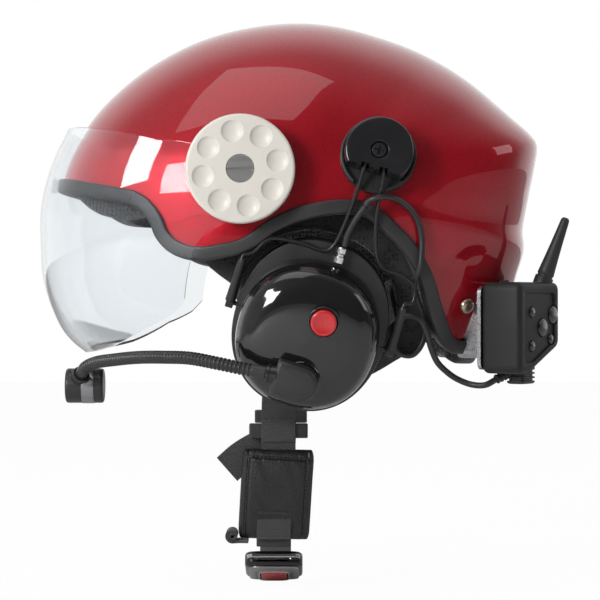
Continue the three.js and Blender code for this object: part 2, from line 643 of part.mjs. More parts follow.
// Padding behind the trim, deeper and lower at the brow
function paddingSolid(grow) {
  const rings = rimStations.filter((_, k) => k % 2 === 0).map((station) => {
    const along = (station.point.y - shellDome.y) / shell.crownRadius;
    const share = (along - browDropShares.start) / browDropShares.span;
    const drop = share > 0 && share < 1 ? padding.browDrop * Math.sin(Math.PI * share) : 0;
    const top = -station.wall - trimInner - gap + grow;
    const bottom = -padding.depth - grow;
    const low = padding.reach + drop + grow;
    const high = -padding.back - grow;
    return rimSection(station, [
      [high, top], [low - padding.round, top], [low, top - padding.round], [low, bottom + padding.round],
      [low - padding.round, bottom], [high + padding.taper, bottom],
    ]);
  });
  return skin(rings, { loop: true });
}

const rimPadding = paddingSolid(0);
const paddingEnvelope = paddingSolid(gap);

// Neck roll below the rear rim, from lobe to lobe
const neckFrom = browRim.length + rimSteps.side;
const neckTo = rimStations.length - neckFrom + 1;

function neckSolid(grow) {
  const { top, bottom, outer, inner, round } = neckRoll;
  const rings = rimStations.slice(neckFrom, neckTo).map((station) => rimSection(station, [
    [top - grow, outer + grow], [bottom - round, outer + grow], [bottom + grow, outer - round],
    [bottom + grow, inner + round], [bottom - round, inner - grow], [top - grow, inner - grow],
  ]));
  return skin(rings);
}

const neckRollSolid = neckSolid(0);
const neckEnvelope = neckSolid(gap);
// Foam and comfort liner
const pocket = (radius, depth, frame) => drum(radius, -depth, overrun, 12).applyMatrix4(frame);
const epsLiner = cut(
  common(domeSolid(shellDome, shell.wall + foam.fit, linerGrid), rimKeep(foam.rimSetback)),
  domeSolid(headDome, 0, linerGrid),
  ...bothSides(screwHole(visorScrew.shank + 4 * gap, pivot)),
  ...bothSides(pocket(mountScrew.shank + 4 * gap, mountScrew.recess + shell.wall, mountFrame)),
  ...bothSides(pocket(anchor.radius, -anchor.end + shell.wall, anchorFrame)),
);

const comfortLiner = cut(
  common(domeSolid(headDome, gap, linerGrid), rimKeep(foam.rimSetback)),
  domeSolid(headDome, liner.thickness, linerGrid),
);

// Side assemblies are made for the left and mirrored for the right
const group = new THREE.Group();

function finish(color, roughness, metalness = 0) {
  return { color, roughness, metalness };
}

const finishes = {
  paint: finish(0xb01020, 0.18, 0.35), rubber: finish(0x1c1c1c, 0.75), foam: finish(0xd9d2c0, 0.9),
  fabric: finish(0x0d0d0f, 0.95), clear: finish(0xdfe6ea, 0.05), cover: finish(0xe6e3dc, 0.35),
  gloss: finish(0x141314, 0.15), matt: finish(0x262322, 0.55), steel: finish(0x55565a, 0.3, 1),
  silver: finish(0xc8c9cc, 0.25, 1), red: finish(0xd8131c, 0.4), leather: finish(0x121212, 0.6),
  webbing: finish(0x17171a, 0.9), brass: finish(0x9c8350, 0.35, 1), mesh: finish(0x8d8272, 0.8),
};

function add(name, geometry, finishName, parent = group) {
  const mesh = new THREE.Mesh(geometry, new THREE.MeshStandardMaterial({ ...finishes[finishName] }));
  mesh.name = name;
  parent.add(mesh);
  return mesh;
}

const sides = [{ hand: 1, name: 'left' }, { hand: -1, name: 'right' }];
const handed = (geometry, hand) => (hand > 0 ? geometry : mirrored(geometry));

/** A group placed by a left-hand frame, or by that frame's mirror image. */
function sideGroup(frame, hand) {
  const placed = new THREE.Group();
  frame.decompose(placed.position, placed.quaternion, placed.scale);
  if (hand < 0) {
    placed.position.x *= -1;
    placed.quaternion.y *= -1;
    placed.quaternion.z *= -1;
  }
  group.add(placed);
  return placed;
}

// Visor and the pieces on its pivot
const tabRing = oval(visor.tab, visor.tab, 2, tabArc.ringSteps, pivot.y, pivot.z);
const visorInner = Math.min(...tabRing.map(([y, z]) => domeHalfWidth(visorDome, y, z, visor.wall)));
const baseFace = visorInner - visorBase.fit;
const coverBack = visor.halfWidth + gap;
const coverFace = coverBack + cover.thickness;

function visorGeometry() {
  const share = ([y, z]) => [pivot.y + y * visor.radius, pivot.z + z * visor.radius];
  const arc = Array.from({ length: tabArc.steps + 1 }, (_, k) => {
    const angle = (tabArc.from + ((tabArc.to - tabArc.from) * k) / tabArc.steps) * radians;
    return [pivot.y + visor.tab * Math.cos(angle), pivot.z + visor.tab * Math.sin(angle)];
  });
  const outline = [...visorTopShares.map(share), ...arc, ...visorBottomShares.map(share)].reverse();
  const across = visor.halfWidth + overrun;
  const hole = atPlace(drum(visorBase.boss + gap, -across, across, 16), pivot);
  return cut(
    common(domeSolid(visorDome, 0, visorGrid), plate(outline, -across, across)),
    domeSolid(visorDome, visor.wall, visorGrid), hole,
  );
}

function visorBaseGeometry() {
  const body = join(
    drum(visorBase.radius, innerX, baseFace, 20), drum(visorBase.boss, baseFace - gap, coverBack - gap, 16),
  );
  return cut(atPlace(body, pivot), aroundShell, screwHole(visorScrew.shank + gap, pivot));
}

function coverGeometry() {
  const { radius, edge } = cover;
  const disc = turned([
    [0, coverBack], [radius - edge / 2, coverBack], [radius, coverBack + edge / 2],
    [radius, coverFace - edge], [radius - edge, coverFace], [0, coverFace],
  ], cover.sides);
  const dimples = Array.from({ length: dimple.count }, (_, k) => {
    const angle = (dimple.turn + (360 * k) / dimple.count) * radians;
    return turned([
      [0, coverFace - dimple.depth], [dimple.floorRadius, coverFace - dimple.floorDepth],
      [dimple.radius, coverFace], [dimple.radius, coverFace + overrun], [0, coverFace + overrun],
    ], dimple.sides).translate(0, dimple.pitch * Math.cos(angle), dimple.pitch * Math.sin(angle));
  });
  const recess = drum(
    visorScrew.head + visorScrew.headGap, coverFace - visorScrew.headThickness, coverFace + overrun,
  );
  const hole = drum(visorScrew.shank + gap, coverBack - overrun, coverFace + overrun, 12);
  return atPlace(cut(disc, ...dimples, recess, hole), pivot);
}

function visorScrewGeometry() {
  const { head, headThickness, shank, end, slotWidth, slotDepth } = visorScrew;
  const under = coverFace - headThickness + gap;
  const body = turned([
    [0, end], [shank, end], [shank, under], [head, under], [head, coverFace], [0, coverFace],
  ], 18);
  const slot = box(
    coverFace - slotDepth, coverFace + overrun, -head - overrun, head + overrun,
    -slotWidth / 2, slotWidth / 2,
  );
  return atPlace(cut(body, slot), pivot);
}

// Cup mount, in the frame of its seat on the shell: x outwards, y along the chord, z across it
function mountBaseGeometry() {
  const { baseRadius, baseHeight, floor, wall, rootDepth, notchHalf } = mount;
  const body = turned([
    [0, -rootDepth], [baseRadius, -rootDepth], [baseRadius, baseHeight],
    [baseRadius - wall, baseHeight], [baseRadius - wall, floor], [0, floor],
  ], 16);
  const notch = box(
    floor, baseHeight + overrun, -notchHalf, notchHalf, -baseRadius - overrun, -baseRadius / 2,
  );
  const seat = aroundShell.clone().applyMatrix4(mountFrame.clone().invert());
  return cut(body, notch, seat, drum(mountScrew.shank + gap, -rootDepth - overrun, overrun, 12));
}

function mountCapGeometry() {
  const { baseRadius, wall, floor, capTop, capEdge, chord, chordWall } = mount;
  const { pocketHalf, pocketTop, pocketRear } = mount;
  const radius = baseRadius - wall - gap;
  const foot = floor + gap;
  const body = turned([
    [0, foot], [radius, foot], [radius, capTop - capEdge], [radius - capEdge, capTop], [0, capTop],
  ], 16);
  const reach = radius + overrun;
  const belowChord = box(foot - overrun, capTop + overrun, -reach, reach, -reach, chord);
  const inside = box(foot - overrun, pocketTop, -pocketHalf, pocketHalf, chord + chordWall, pocketRear);
  const slots = [-1, 1].map((side) => box(
    mount.slotFloor, capTop + overrun,
    side * mount.wireSpread - mount.slotWidth / 2, side * mount.wireSpread + mount.slotWidth / 2,
    chord - overrun, chord + chordWall + gap,
  ));
  const { recess, recessDepth, shank } = mountScrew;
  return cut(
    body, belowChord, inside, ...slots,
    drum(recess, capTop - recessDepth, capTop + overrun), drum(shank + gap, foot - overrun, capTop, 12),
  );
}

function mountScrewGeometry() {
  const { head, recessDepth, shank, end, cross, crossLength, crossDepth } = mountScrew;
  const top = mount.capTop - gap;
  const under = mount.capTop - recessDepth + gap;
  const body = turned([
    [0, end], [shank, end], [shank, under], [head, under], [head, top - gap], [head - gap, top], [0, top],
  ], 12);
  const slot = box(top - crossDepth, top + overrun, -crossLength, crossLength, -cross / 2, cross / 2);
  return cut(body, slot, slot.clone().rotateX(Math.PI / 2));
}

// Ear cup frames: the arm's, and the cup's, which leans out from it by its rest tilt
const turn = (axis, angle) => new THREE.Matrix4().makeRotationAxis(axis, angle * radians);
const armFrame = new THREE.Matrix4().makeTranslation(cup.axisX, cup.y, cup.z)
  .multiply(turn(vector(1, 0, 0), -cup.pitch));
const cupFrame = armFrame.clone().multiply(turn(vector(0, 1, 0), cup.restTilt));

const cupOval = (grow, dy = 0, dz = 0) => oval(
  cup.halfWidth + grow, cup.halfHeight + grow, cup.squareness, cup.steps, dy, dz,
);

function cupPlateGeometry() {
  const hole = oval(cup.soundHole, cup.soundHole, 2, cup.steps).reverse();
  const body = plate(cupOval(0), cup.plateBack, cup.plateFront, [hole]);
  const pins = [-1, 1].map((side) => bar(
    cup.pinRadius, vector(cup.plateFront - cup.pinRadius, side * (cup.halfWidth - cup.pinRadius), 0),
    vector(0, side * cup.pinReach, 0), 12,
  ));
  return join(body, ...pins);
}

/** Bowl over the cup's plate, smaller all round by an inset, from a foot on the plate. */
function bowl(inset, foot) {
  const depth = dome.depth - inset;
  const rings = domeShares.map(([deep, wideShare]) => oval(
    (dome.halfWidth - inset) * wideShare, (dome.halfHeight - inset) * wideShare,
    cup.squareness, cup.steps, 0, dome.drop,
  ).map(([y, z]) => vector(deep === 0 ? foot : deep * depth, y, z)));
  return skin(rings, { end: vector(depth, 0, dome.drop) });
}

function cupShellGeometry(withTalk) {
  const foot = cup.plateFront + gap;
  const inner = bowl(dome.wall, foot - overrun);
  const shellOnly = cut(bowl(0, foot), inner);
  if (!withTalk) return shellOnly;
  const collar = drum(talk.collar, talk.floor - talk.root, talk.collarTop, 18).translate(0, talk.y, talk.z);
  const bore = drum(talk.bore, talk.floor, talk.collarTop + overrun, 18).translate(0, talk.y, talk.z);
  const seat = drum(boom.seatRadius, dome.depth / 2, dome.depth, 20).translate(0, boom.y, boom.z);
  return cut(join(shellOnly, collar, cut(seat, inner)), bore);
}

function talkButtonGeometry() {
  const foot = talk.floor + talk.travel + gap;
  return turned([
    [0, foot], [talk.radius, foot], [talk.radius, talk.top - gap], [talk.radius - gap, talk.top],
    [0, talk.top],
  ], 18).translate(0, talk.y, talk.z);
}

function cushionGeometry() {
  const { thickness, holeHalfWidth, holeHalfHeight, bulge, pinch, rows } = cushion;
  const back = cup.plateBack - gap;
  const rings = Array.from({ length: rows }, (_, row) => {
    const angle = (2 * Math.PI * (row + 1 / 2)) / rows;
    const share = (1 + Math.cos(angle)) / 2;
    const lift = (1 - Math.sin(angle)) / 2;
    const swell = (share > 1 / 2 ? 1 : -1) * (bulge * Math.cos(angle) ** 2 - pinch * (1 - lift) ** 4) - bulge;
    return oval(
      holeHalfWidth + share * (cup.halfWidth - holeHalfWidth) + swell,
      holeHalfHeight + share * (cup.halfHeight - holeHalfHeight) + swell, cup.squareness, cup.steps,
    ).map(([y, z]) => vector(back - thickness * lift, y, z));
  });
  return skin(rings, { loop: true });
}

function speakerGeometry() {
  const { radius, thickness, coneRadius, coneDepth } = speaker;
  const foot = cup.plateFront + gap;
  return turned([
    [0, foot + coneDepth], [coneRadius, foot], [radius, foot], [radius, foot + thickness / 2],
    [coneRadius, foot + thickness], [0, foot + thickness],
  ], 18);
}

// Wire arm, in the arm's frame; its top bend lies in the mount cap as the arm's axle
const armToMount = armFrame.clone().invert().multiply(mountFrame);

function wireArmGeometry() {
  const { plane, barZ, sleeveY, sleeveTop, sleeveRadius, radius } = wire;
  const { axleHeight, axleDrop, wireSpread } = mount;
  const bends = (shares) => shares.map(([y, z]) => {
    const top = vector(axleHeight, 0, axleDrop).applyMatrix4(armToMount);
    const rise = Math.max(z - 1, 0) / (top.z / barZ - 1);
    return vector(plane + rise * (top.x - plane), y * sleeveY, z * barZ);
  });
  const ends = [-1, 1].map((side) => [
    vector(axleHeight, side * (wireSpread - radius), axleDrop).applyMatrix4(armToMount),
    vector(axleHeight, side * wireSpread, axleDrop - radius).applyMatrix4(armToMount),
  ]);
  const sleeveEntry = (side) => [
    vector(plane, side * sleeveY, sleeveTop + sleeveRadius),
    vector(plane, side * sleeveY, sleeveTop - sleeveRadius),
  ];
  const path = [
    ...sleeveEntry(-1).reverse(), ...bends(wireFrontShares).reverse(), ...ends[0].reverse(),
    ...ends[1], ...bends(wireRearShares), ...sleeveEntry(1),
  ];
  const sleeves = [-1, 1].flatMap((side) => [
    bar(sleeveRadius, vector(plane, side * sleeveY, sleeveTop), vector(0, side * sleeveY, 0), 8),
    bar(
      wire.eyeRadius, vector(0, side * (sleeveY - wire.eyeHalf), 0),
      vector(0, side * (sleeveY + wire.eyeHalf), 0), 10,
    ),
  ]);
  const reach = sleeveY + wire.eyeHalf + overrun;
  const hole = bar(wire.eyeHole, vector(0, -reach, 0), vector(0, reach, 0), 8);
  return cut(join(tube(path, radius, wire.sides, wire.steps), ...sleeves), hole);
}

// Ear surround: fabric from the rim padding in to the cup
function surroundGeometry() {
  const [flap, cheek] = [flapShares, cheekShares].map((shares) => shares.map(rimPlace));
  const nearest = (place) => {
    const distances = sideRim.map(({ y, z }) => Math.hypot(y - place.y, z - place.z));
    return distances.indexOf(Math.min(...distances));
  };
  const arch = sideRim.slice(nearest(cheek.at(-1)) + 1, nearest(flap[0])).map((place, k, list) => {
    const before = list[Math.max(k - 1, 0)];
    const after = list[Math.min(k + 1, list.length - 1)];
    const [dy, dz] = [after.y - before.y, after.z - before.z];
    const share = surround.rimFit / Math.hypot(dy, dz);
    return { y: place.y + dz * share, z: place.z - dy * share };
  });
  const outline = [...arch, ...flap, ...cheek].map(({ y, z }) => [y, z]).reverse();
  const body = plate(outline, surround.from, surround.from + surround.thickness);
  const deep = 2 * cushion.thickness;
  const hole = plate(cupOval(surround.cupFit), -deep, deep).applyMatrix4(armFrame);
  return cut(body, hole, paddingEnvelope);
}

// Boom, from its housing's mouth to the microphone
const boomFoot = dome.depth + gap;
const boomMouth = vector(boomFoot + boom.height / 2, boom.y - boom.length - boom.ferruleLength, boom.z)
  .applyMatrix4(cupFrame);
const gooseneckCurve = new THREE.CatmullRomCurve3(
  gooseneckShares.map((share) => vector(...share).multiplyScalar(boom.reach).add(boomMouth)),
  false, 'centripetal',
);

/** Rings round the gooseneck's curve at shares of its length, with no twist between them. */
function curveRings(curve, stations, count) {
  let side = vector(0, 0, 1);
  return stations.map(([t, size]) => {
    const along = curve.getTangentAt(t);
    side = side.clone().addScaledVector(along, -side.dot(along)).normalize();
    const across = along.clone().cross(side);
    return Array.from({ length: count }, (_, k) => {
      const angle = (2 * Math.PI * k) / count;
      return curve.getPointAt(t).addScaledVector(side, size * Math.cos(angle))
        .addScaledVector(across, size * Math.sin(angle));
    });
  });
}

function gooseneckGeometry() {
  const { radius, groove, bore, ribs, sides: count, boreEvery } = gooseneck;
  const plain = (2 * radius) / gooseneckCurve.getLength();
  const pitch = (1 - 2 * plain) / ribs;
  const outer = [[0, radius]];
  for (let k = 0; k < ribs; k += 1) {
    outer.push([plain + pitch * (k + 1 / 4), radius], [plain + pitch * (k + 3 / 4), radius - groove]);
  }
  outer.push([1 - plain, radius], [1, radius]);
  const inner = Array.from({ length: ribs / boreEvery + 1 }, (_, k) => [(k * boreEvery) / ribs, bore]);
  return skin([
    ...curveRings(gooseneckCurve, outer, count), ...curveRings(gooseneckCurve, inner, count).reverse(),
  ], { loop: true });
}

function boomHousingGeometry() {
  const outlineAt = (inset) => {
    const radius = boom.radius - inset;
    const round = Array.from({ length: 13 }, (_, k) => {
      const angle = (-90 + (180 * k) / 12) * radians;
      return [boom.y + radius * Math.cos(angle), boom.z + radius * Math.sin(angle)];
    });
    const end = boom.y - boom.length + inset;
    return [...round, [end, boom.z + radius], [end, boom.z - radius]];
  };
  const body = softSlab(outlineAt, boomFoot, boomFoot + boom.height, boom.edge);
  const toCup = cupFrame.clone().invert();
  const along = gooseneckCurve.getTangentAt(0).transformDirection(toCup);
  const mouth = boomMouth.clone().applyMatrix4(toCup).addScaledVector(along, -gap);
  const root = mouth.clone().addScaledVector(along, -boom.ferruleLength - boom.edge);
  return join(body, bar(boom.ferrule, root, mouth, 20));
}

function micGeometry() {
  const end = gooseneckCurve.getPointAt(1);
  const along = gooseneckCurve.getTangentAt(1);
  const { radius, length, edge, collar, drop, back, sides: count } = mic;
  const foot = end.clone().addScaledVector(along, gap);
  const middle = end.clone().addScaledVector(along, drop);
  const barrel = turned([
    [0, -length / 2], [radius - edge, -length / 2], [radius, edge - length / 2],
    [radius, length / 2 - edge], [radius - edge, length / 2], [0, length / 2],
  ], count).rotateZ(Math.PI / 2).translate(middle.x, middle.y + back, middle.z);
  return join(barrel, bar(collar, foot, middle, 16));
}

// Ear lead, and the fitting on the cup that it leaves from
const route = (places) => places.map((p) => vector(...p));
const leadTube = (places, steps) => tube(places, lead.radius, lead.sides, steps);

/** Route that carries on from the end of another, straight at first. */
function follow(before, places) {
  const curve = new THREE.CatmullRomCurve3(before, false, 'centripetal');
  const [end, along] = [before.at(-1), curve.getTangentAt(1)];
  const straight = [lead.joint, 2 * lead.radius].map((far) => end.clone().addScaledVector(along, far));
  return [...straight, ...route(places)];
}

const cupLeadRoute = route(leadOnCup);
const earLeadRoute = follow(cupLeadRoute, leadOnShell);
const intercomLeadRoute = follow(earLeadRoute, leadToPlug);

function hookGeometry() {
  const x = cup.plateFront + hook.fit + hook.radius;
  const foot = vector(x, hook.y, cup.halfHeight - hook.length);
  return bar(hook.radius, foot, vector(x, hook.y, cup.halfHeight), 16);
}

// Intercom, in the frame of its panel: x out of it, y along it, z up
const intercomFrame = new THREE.Matrix4().makeTranslation(intercom.x, intercom.y, intercom.z)
  .multiply(turn(vector(0, 0, 1), intercom.turn));
const toIntercom = intercomFrame.clone().invert();

function intercomShape(inset) {
  const { width, height, corner } = intercom;
  const [w, h] = [width / 2 - inset, height / 2 - inset];
  const c = corner - Math.min(inset, corner / 2);
  const cutRun = (intercom.cutRun * w) / (width / 2);
  const cutRise = (intercom.cutRise * h) / (height / 2);
  return new THREE.Shape()
    .moveTo(c - w, h)
    .quadraticCurveTo(-w, h, -w, h - c)
    .lineTo(-w, c - h)
    .quadraticCurveTo(-w, -h, c - w, -h)
    .lineTo(w - cutRun + c, -h)
    .lineTo(w - c, cutRise - h - c / 2)
    .quadraticCurveTo(w, cutRise - h, w, cutRise - h + c)
    .lineTo(w, h - c)
    .quadraticCurveTo(w, h, w - c, h);
}

function intercomSlab(inset, from, to) {
  const settings = { depth: to - from, bevelEnabled: false, curveSegments: 3 };
  const slab = new THREE.ExtrudeGeometry(intercomShape(inset), settings);
  return slab.applyMatrix4(sideways).translate(from, 0, 0);
}

const panelX = intercom.thickness / 2;
const keyFloor = panelX - intercom.panelInset;
const keyAt = (key) => ({ y: key.y * intercom.width, z: key.z * intercom.height });

function intercomGeometry() {
  const { thickness, edge, panelMargin } = intercom;
  const outlineAt = (inset) => intercomShape(inset).getPoints(3).map(({ x, y }) => [x, y]);
  const body = softSlab(outlineAt, -thickness / 2, thickness / 2, edge);
  const wells = keyShares.map((key) => atPlace(
    drum(key.radius + keys.fit, keyFloor - keys.depth, panelX + overrun, 10), keyAt(key),
  ));
  return cut(body, intercomSlab(panelMargin, keyFloor, panelX + overrun), ...wells);
}

function keyGeometry(key) {
  const foot = keyFloor - keys.depth + keys.travel + gap;
  const top = keyFloor + keys.proud;
  return atPlace(turned([
    [0, foot], [key.radius, foot], [key.radius, top - gap], [key.radius - gap, top], [0, top],
  ], 10), keyAt(key));
}

const antennaFoot = vector(antenna.x, antenna.y, intercom.height / 2 + gap).applyMatrix4(intercomFrame);

function antennaGeometry() {
  const { base, tip, length, collar, collarHeight, root, lean } = antenna;
  const body = turned([
    [0, -root], [collar, -root], [collar, collarHeight], [base, collarHeight + collar - base],
    [tip, length - tip], [tip / 2, length - tip / 4], [0, length],
  ], 12).rotateY(-Math.PI / 2).rotateX(-lean * radians);
  const side = 2 * collar;
  return cut(body, box(-side, side, -side, side, -side, 0));
}

const clampFront = -intercom.thickness / 2 - gap;
const clampBack = clampFront - clamp.plate;

function clampGeometry() {
  const { plateWidth, plateHeight, blockWidth, blockHeight, blockDepth, corner } = clamp;
  const front = plate(roundedOutline(plateWidth, plateHeight, corner), clampBack, clampFront);
  const block = plate(
    roundedOutline(blockWidth, blockHeight, corner), clampBack - blockDepth, clampBack + clamp.plate / 2,
  );
  const notched = cut(join(front, block), latchBox(gap, latch.travel + gap));
  const around = [aroundShell, trimEnvelope, neckEnvelope];
  return cut(notched, ...around.map((solid) => solid.clone().applyMatrix4(toIntercom)));
}

function latchBox(grow, below) {
  const { width, height, proud, offset } = latch;
  const top = clamp.plateHeight / 2 + proud;
  const past = overrun * Math.sign(grow);
  return box(
    clampBack - past, clampFront + past, offset - width / 2 - grow, offset + width / 2 + grow,
    top - height - below, top,
  );
}

const plugPlace = vector(0, plug.y, plug.top - plug.height / 2);

function plugGeometry() {
  const { width, depth, height, corner, neck, ribs, ribHalf, groove } = plug;
  const outline = roundedOutline(width, height, corner, 2)
    .map(([y, z]) => [y + plugPlace.y, z + plugPlace.z]);
  const body = plate(outline, -depth / 2, depth / 2);
  const grooves = Array.from({ length: ribs }, (_, k) => {
    const z = plugPlace.z - height / 2 + ((k + 1) * height) / (2 * ribs + 2);
    const frame = (grow, half) => box(
      -depth / 2 - grow, depth / 2 + grow, -width / 2 - grow, width / 2 + grow, z - half, z + half,
    );
    return cut(frame(overrun, ribHalf), frame(-groove, 2 * ribHalf)).translate(0, plugPlace.y, 0);
  });
  const curve = new THREE.CatmullRomCurve3(intercomLeadRoute, false, 'centripetal');
  const start = curve.getPointAt(1).addScaledVector(curve.getTangentAt(1), gap).applyMatrix4(toIntercom);
  const strain = bar(neck, start, plugPlace, 12);
  const above = intercomSlab(-gap, -panelX, panelX);
  return cut(join(cut(body, ...grooves), strain), above);
}

// Chin strap: each side has a front leg, a rear leg from the rim, and the webbing down to the chin
const across = vector(0, 1, 0);

/** Place on the padding's inner face at a share of the side rim, moved out past the rim. */
function insidePadding(share, beyond, standoff = 0) {
  const { point, normal, out } = rimStations[browRim.length + Math.round(share * rimSteps.side)];
  const depth = padding.depth + gap + strap.thickness / 2 + standoff;
  return point.clone().addScaledVector(normal, -depth).addScaledVector(out, beyond);
}

const hanging = [0, 1 / 3, 2 / 3, 1].map(
  (t) => vector(strap.x, strap.y, strap.top + t * (strap.bottom - strap.top)),
);
const legTop = (share, standoff) => [0, 2 * padding.reach].map(
  (beyond) => insidePadding(share, beyond, standoff),
);
const strapCurve = (end) => [...legTop(strap.rootShare), ...route(frontLegRoute), ...hanging, ...route(end)];
const rearLeg = [...legTop(strap.rearShare, strap.standoff), ...route(rearLegRoute)];
const ribbon = (places, grow, steps) => webbing(
  places, strap.width + 2 * grow, strap.thickness + 2 * grow, across, steps,
);
const strapRoot = (grow) => [
  ribbon([...legTop(strap.rootShare), ...route(frontLegRoute)], grow, strap.rearSteps),
  ribbon(rearLeg, grow, strap.rearSteps),
];
const strapGeometry = (end, steps) => join(
  ribbon(strapCurve(end), 0, steps), ribbon(rearLeg, 0, strap.rearSteps),
);

/** Snap rivet of the strap's anchor, in the frame of its seat. */
function rivetGeometry() {
  const { radius, rise, shank, end } = anchor;
  const head = anchorDomeShares.map(([wideShare, high]) => [radius * wideShare, gap + rise * high]);
  return turned([[0, end], [shank, end], [shank, gap], ...head], 12);
}

function sliderGeometry() {
  const { halfWidth, height, wall, z, fit } = slider;
  const reach = strap.thickness / 2 + fit;
  const body = box(-reach - wall, reach + wall, -halfWidth, halfWidth, -height / 2, height / 2);
  const tunnel = box(-reach, reach, -strap.width / 2 - fit, strap.width / 2 + fit, -height, height);
  return cut(body, tunnel).translate(strap.x, strap.y, z);
}

function padGeometry() {
  const places = [...hanging.slice(-2), ...route(strapRoute)];
  const curve = new THREE.CatmullRomCurve3(places, false, 'centripetal');
  const { halfWidth, thickness, startShare, endShare, corner, crown, rows, round } = pad;
  const rings = Array.from({ length: rows }, (_, k) => {
    const t = startShare + ((endShare - startShare) * k) / (rows - 1);
    const along = curve.getTangentAt(t);
    const thick = along.clone().cross(across).normalize();
    const shy = (k === 0 || k === rows - 1) ? round : 0;
    const [w, h] = [halfWidth - shy, thickness / 2 - shy];
    const section = [
      [corner - w, -h], [0, -h - crown], [w - corner, -h], [w, corner - h],
      [w, h - corner], [w - corner, h], [0, h + crown], [corner - w, h], [-w, h - corner], [-w, corner - h],
    ];
    return section.map(([y, x]) => curve.getPointAt(t).addScaledVector(across, y).addScaledVector(thick, x));
  });
  return cut(skin(rings), ribbon(strapCurve(strapRoute), gap, strap.steps));
}

// Buckle, in its own frame: x along it from the tongue, y across it, z up out of it
const buckleFrame = new THREE.Matrix4().makeTranslation(buckle.x, buckle.y, buckle.z)
  .multiply(new THREE.Matrix4().makeBasis(
    vector(-Math.cos(buckle.slope * radians), 0, -Math.sin(buckle.slope * radians)), vector(0, -1, 0),
    vector(-Math.sin(buckle.slope * radians), 0, Math.cos(buckle.slope * radians)),
  ));

/** Plate in the buckle's frame from an outline of [x, y] points. */
function flatPlate(outline, from, to) {
  const shape = new THREE.Shape(outline.map(([x, y]) => new THREE.Vector2(x, y)));
  return new THREE.ExtrudeGeometry(shape, { depth: to - from, bevelEnabled: false }).translate(0, 0, from);
}

function tongueGeometry() {
  const { loopWidth, thickness, bar: barWidth, loop, blade, length } = tongue;
  const half = loopWidth / 2;
  const body = flatPlate([
    [0, half - barWidth], [barWidth, half], [loop, half], [loop + barWidth, blade / 2],
    [length - barWidth, blade / 2],
    [length, blade / 2 - barWidth], [length, barWidth - blade / 2], [length - barWidth, -blade / 2],
    [loop + barWidth, -blade / 2], [loop, -half], [barWidth, -half], [0, barWidth - half],
  ].reverse(), -thickness / 2, thickness / 2);
  const slot = strap.width / 2 + gap;
  return cut(body, box(barWidth, loop - barWidth / 2, -slot, slot, -thickness, thickness));
}

const buckleFrom = tongue.loop + tongue.bar + gap;

function buckleGeometry() {
  const { width, length, thickness, corner, edge, mouthWidth, mouthHeight, mouthDepth } = buckle;
  const outlineAt = (inset) => roundedOutline(length - 2 * inset, width - 2 * inset, corner)
    .map(([x, y]) => [x + buckleFrom + length / 2, y]);
  const body = softSlab(outlineAt, -thickness / 2, thickness / 2, edge).applyMatrix4(upright);
  const mouth = box(
    buckleFrom - overrun, buckleFrom + mouthDepth, -mouthWidth / 2, mouthWidth / 2,
    -mouthHeight / 2, mouthHeight / 2,
  );
  const { fit, depth } = release;
  return cut(body, mouth, flatPlate(releaseOutline(fit), -thickness, depth - thickness / 2));
}

function releaseOutline(grow) {
  const { length, width, corner } = release;
  const middle = buckleFrom + buckle.length - buckle.edge - length / 2;
  return roundedOutline(length + 2 * grow, width + 2 * grow, corner).map(([x, y]) => [x + middle, y]);
}

function releaseGeometry() {
  const face = -buckle.thickness / 2 - release.proud;
  return flatPlate(releaseOutline(0), face, release.depth - buckle.thickness / 2 - release.travel - gap);
}

// Scene
add('outer_shell', outerShell, 'paint');
add('rear_vent_mesh', rearVentMesh, 'mesh');
add('edge_trim', edgeTrim, 'rubber');
add('eps_liner', epsLiner, 'foam');
add('comfort_liner', comfortLiner, 'fabric');
add('rim_padding', cut(rimPadding, ...strapRoot(strap.rootFit).flatMap(bothSides)), 'fabric');
add('neck_roll', neckRollSolid, 'fabric');
add('visor', visorGeometry(), 'clear');

sides.forEach(({ hand, name }) => {
  const place = (piece, geometry, finishName, parent) => {
    add(`${piece}_${name}`, handed(geometry, hand), finishName, parent);
  };
  place('visor_base', visorBaseGeometry(), 'matt');
  place('visor_cover', coverGeometry(), 'cover');
  place('visor_screw', visorScrewGeometry(), 'silver');
  place('ear_surround', surroundGeometry(), 'fabric');
  const webbingPiece = hand > 0
    ? strapGeometry(strapRoute, strap.steps) : strapGeometry(strapEndRoute, strap.longSteps);
  place('strap', webbingPiece, 'webbing');
  place('strap_slider', sliderGeometry(), 'matt');

  const seat = sideGroup(mountFrame, hand);
  place('mount_base', mountBaseGeometry(), 'matt', seat);
  place('mount_cap', mountCapGeometry(), 'matt', seat);
  place('mount_screw', mountScrewGeometry(), 'steel', seat);
  place('strap_rivet', rivetGeometry(), 'brass', sideGroup(anchorFrame, hand));

  place('wire_arm', wireArmGeometry(), 'steel', sideGroup(armFrame, hand));
  const cupSide = sideGroup(cupFrame, hand);
  place('cup_plate', cupPlateGeometry(), 'matt', cupSide);
  place('cup_shell', cupShellGeometry(hand > 0), 'gloss', cupSide);
  place('cup_cushion', cushionGeometry(), 'leather', cupSide);
  place('cup_speaker', speakerGeometry(), 'matt', cupSide);
  if (hand < 0) return;
  add('talk_button', talkButtonGeometry(), 'red', cupSide);
  add('boom_housing', boomHousingGeometry(), 'matt', cupSide);
  add('cable_hook', hookGeometry(), 'silver', cupSide);
});

add('boom_gooseneck', gooseneckGeometry(), 'steel');
add('mic_head', micGeometry(), 'matt');
add('cup_lead', leadTube(cupLeadRoute, lead.cupSteps), 'rubber');
add('ear_lead', leadTube(earLeadRoute, lead.shellSteps), 'rubber');
add('intercom_lead', leadTube(intercomLeadRoute, lead.plugSteps), 'rubber');

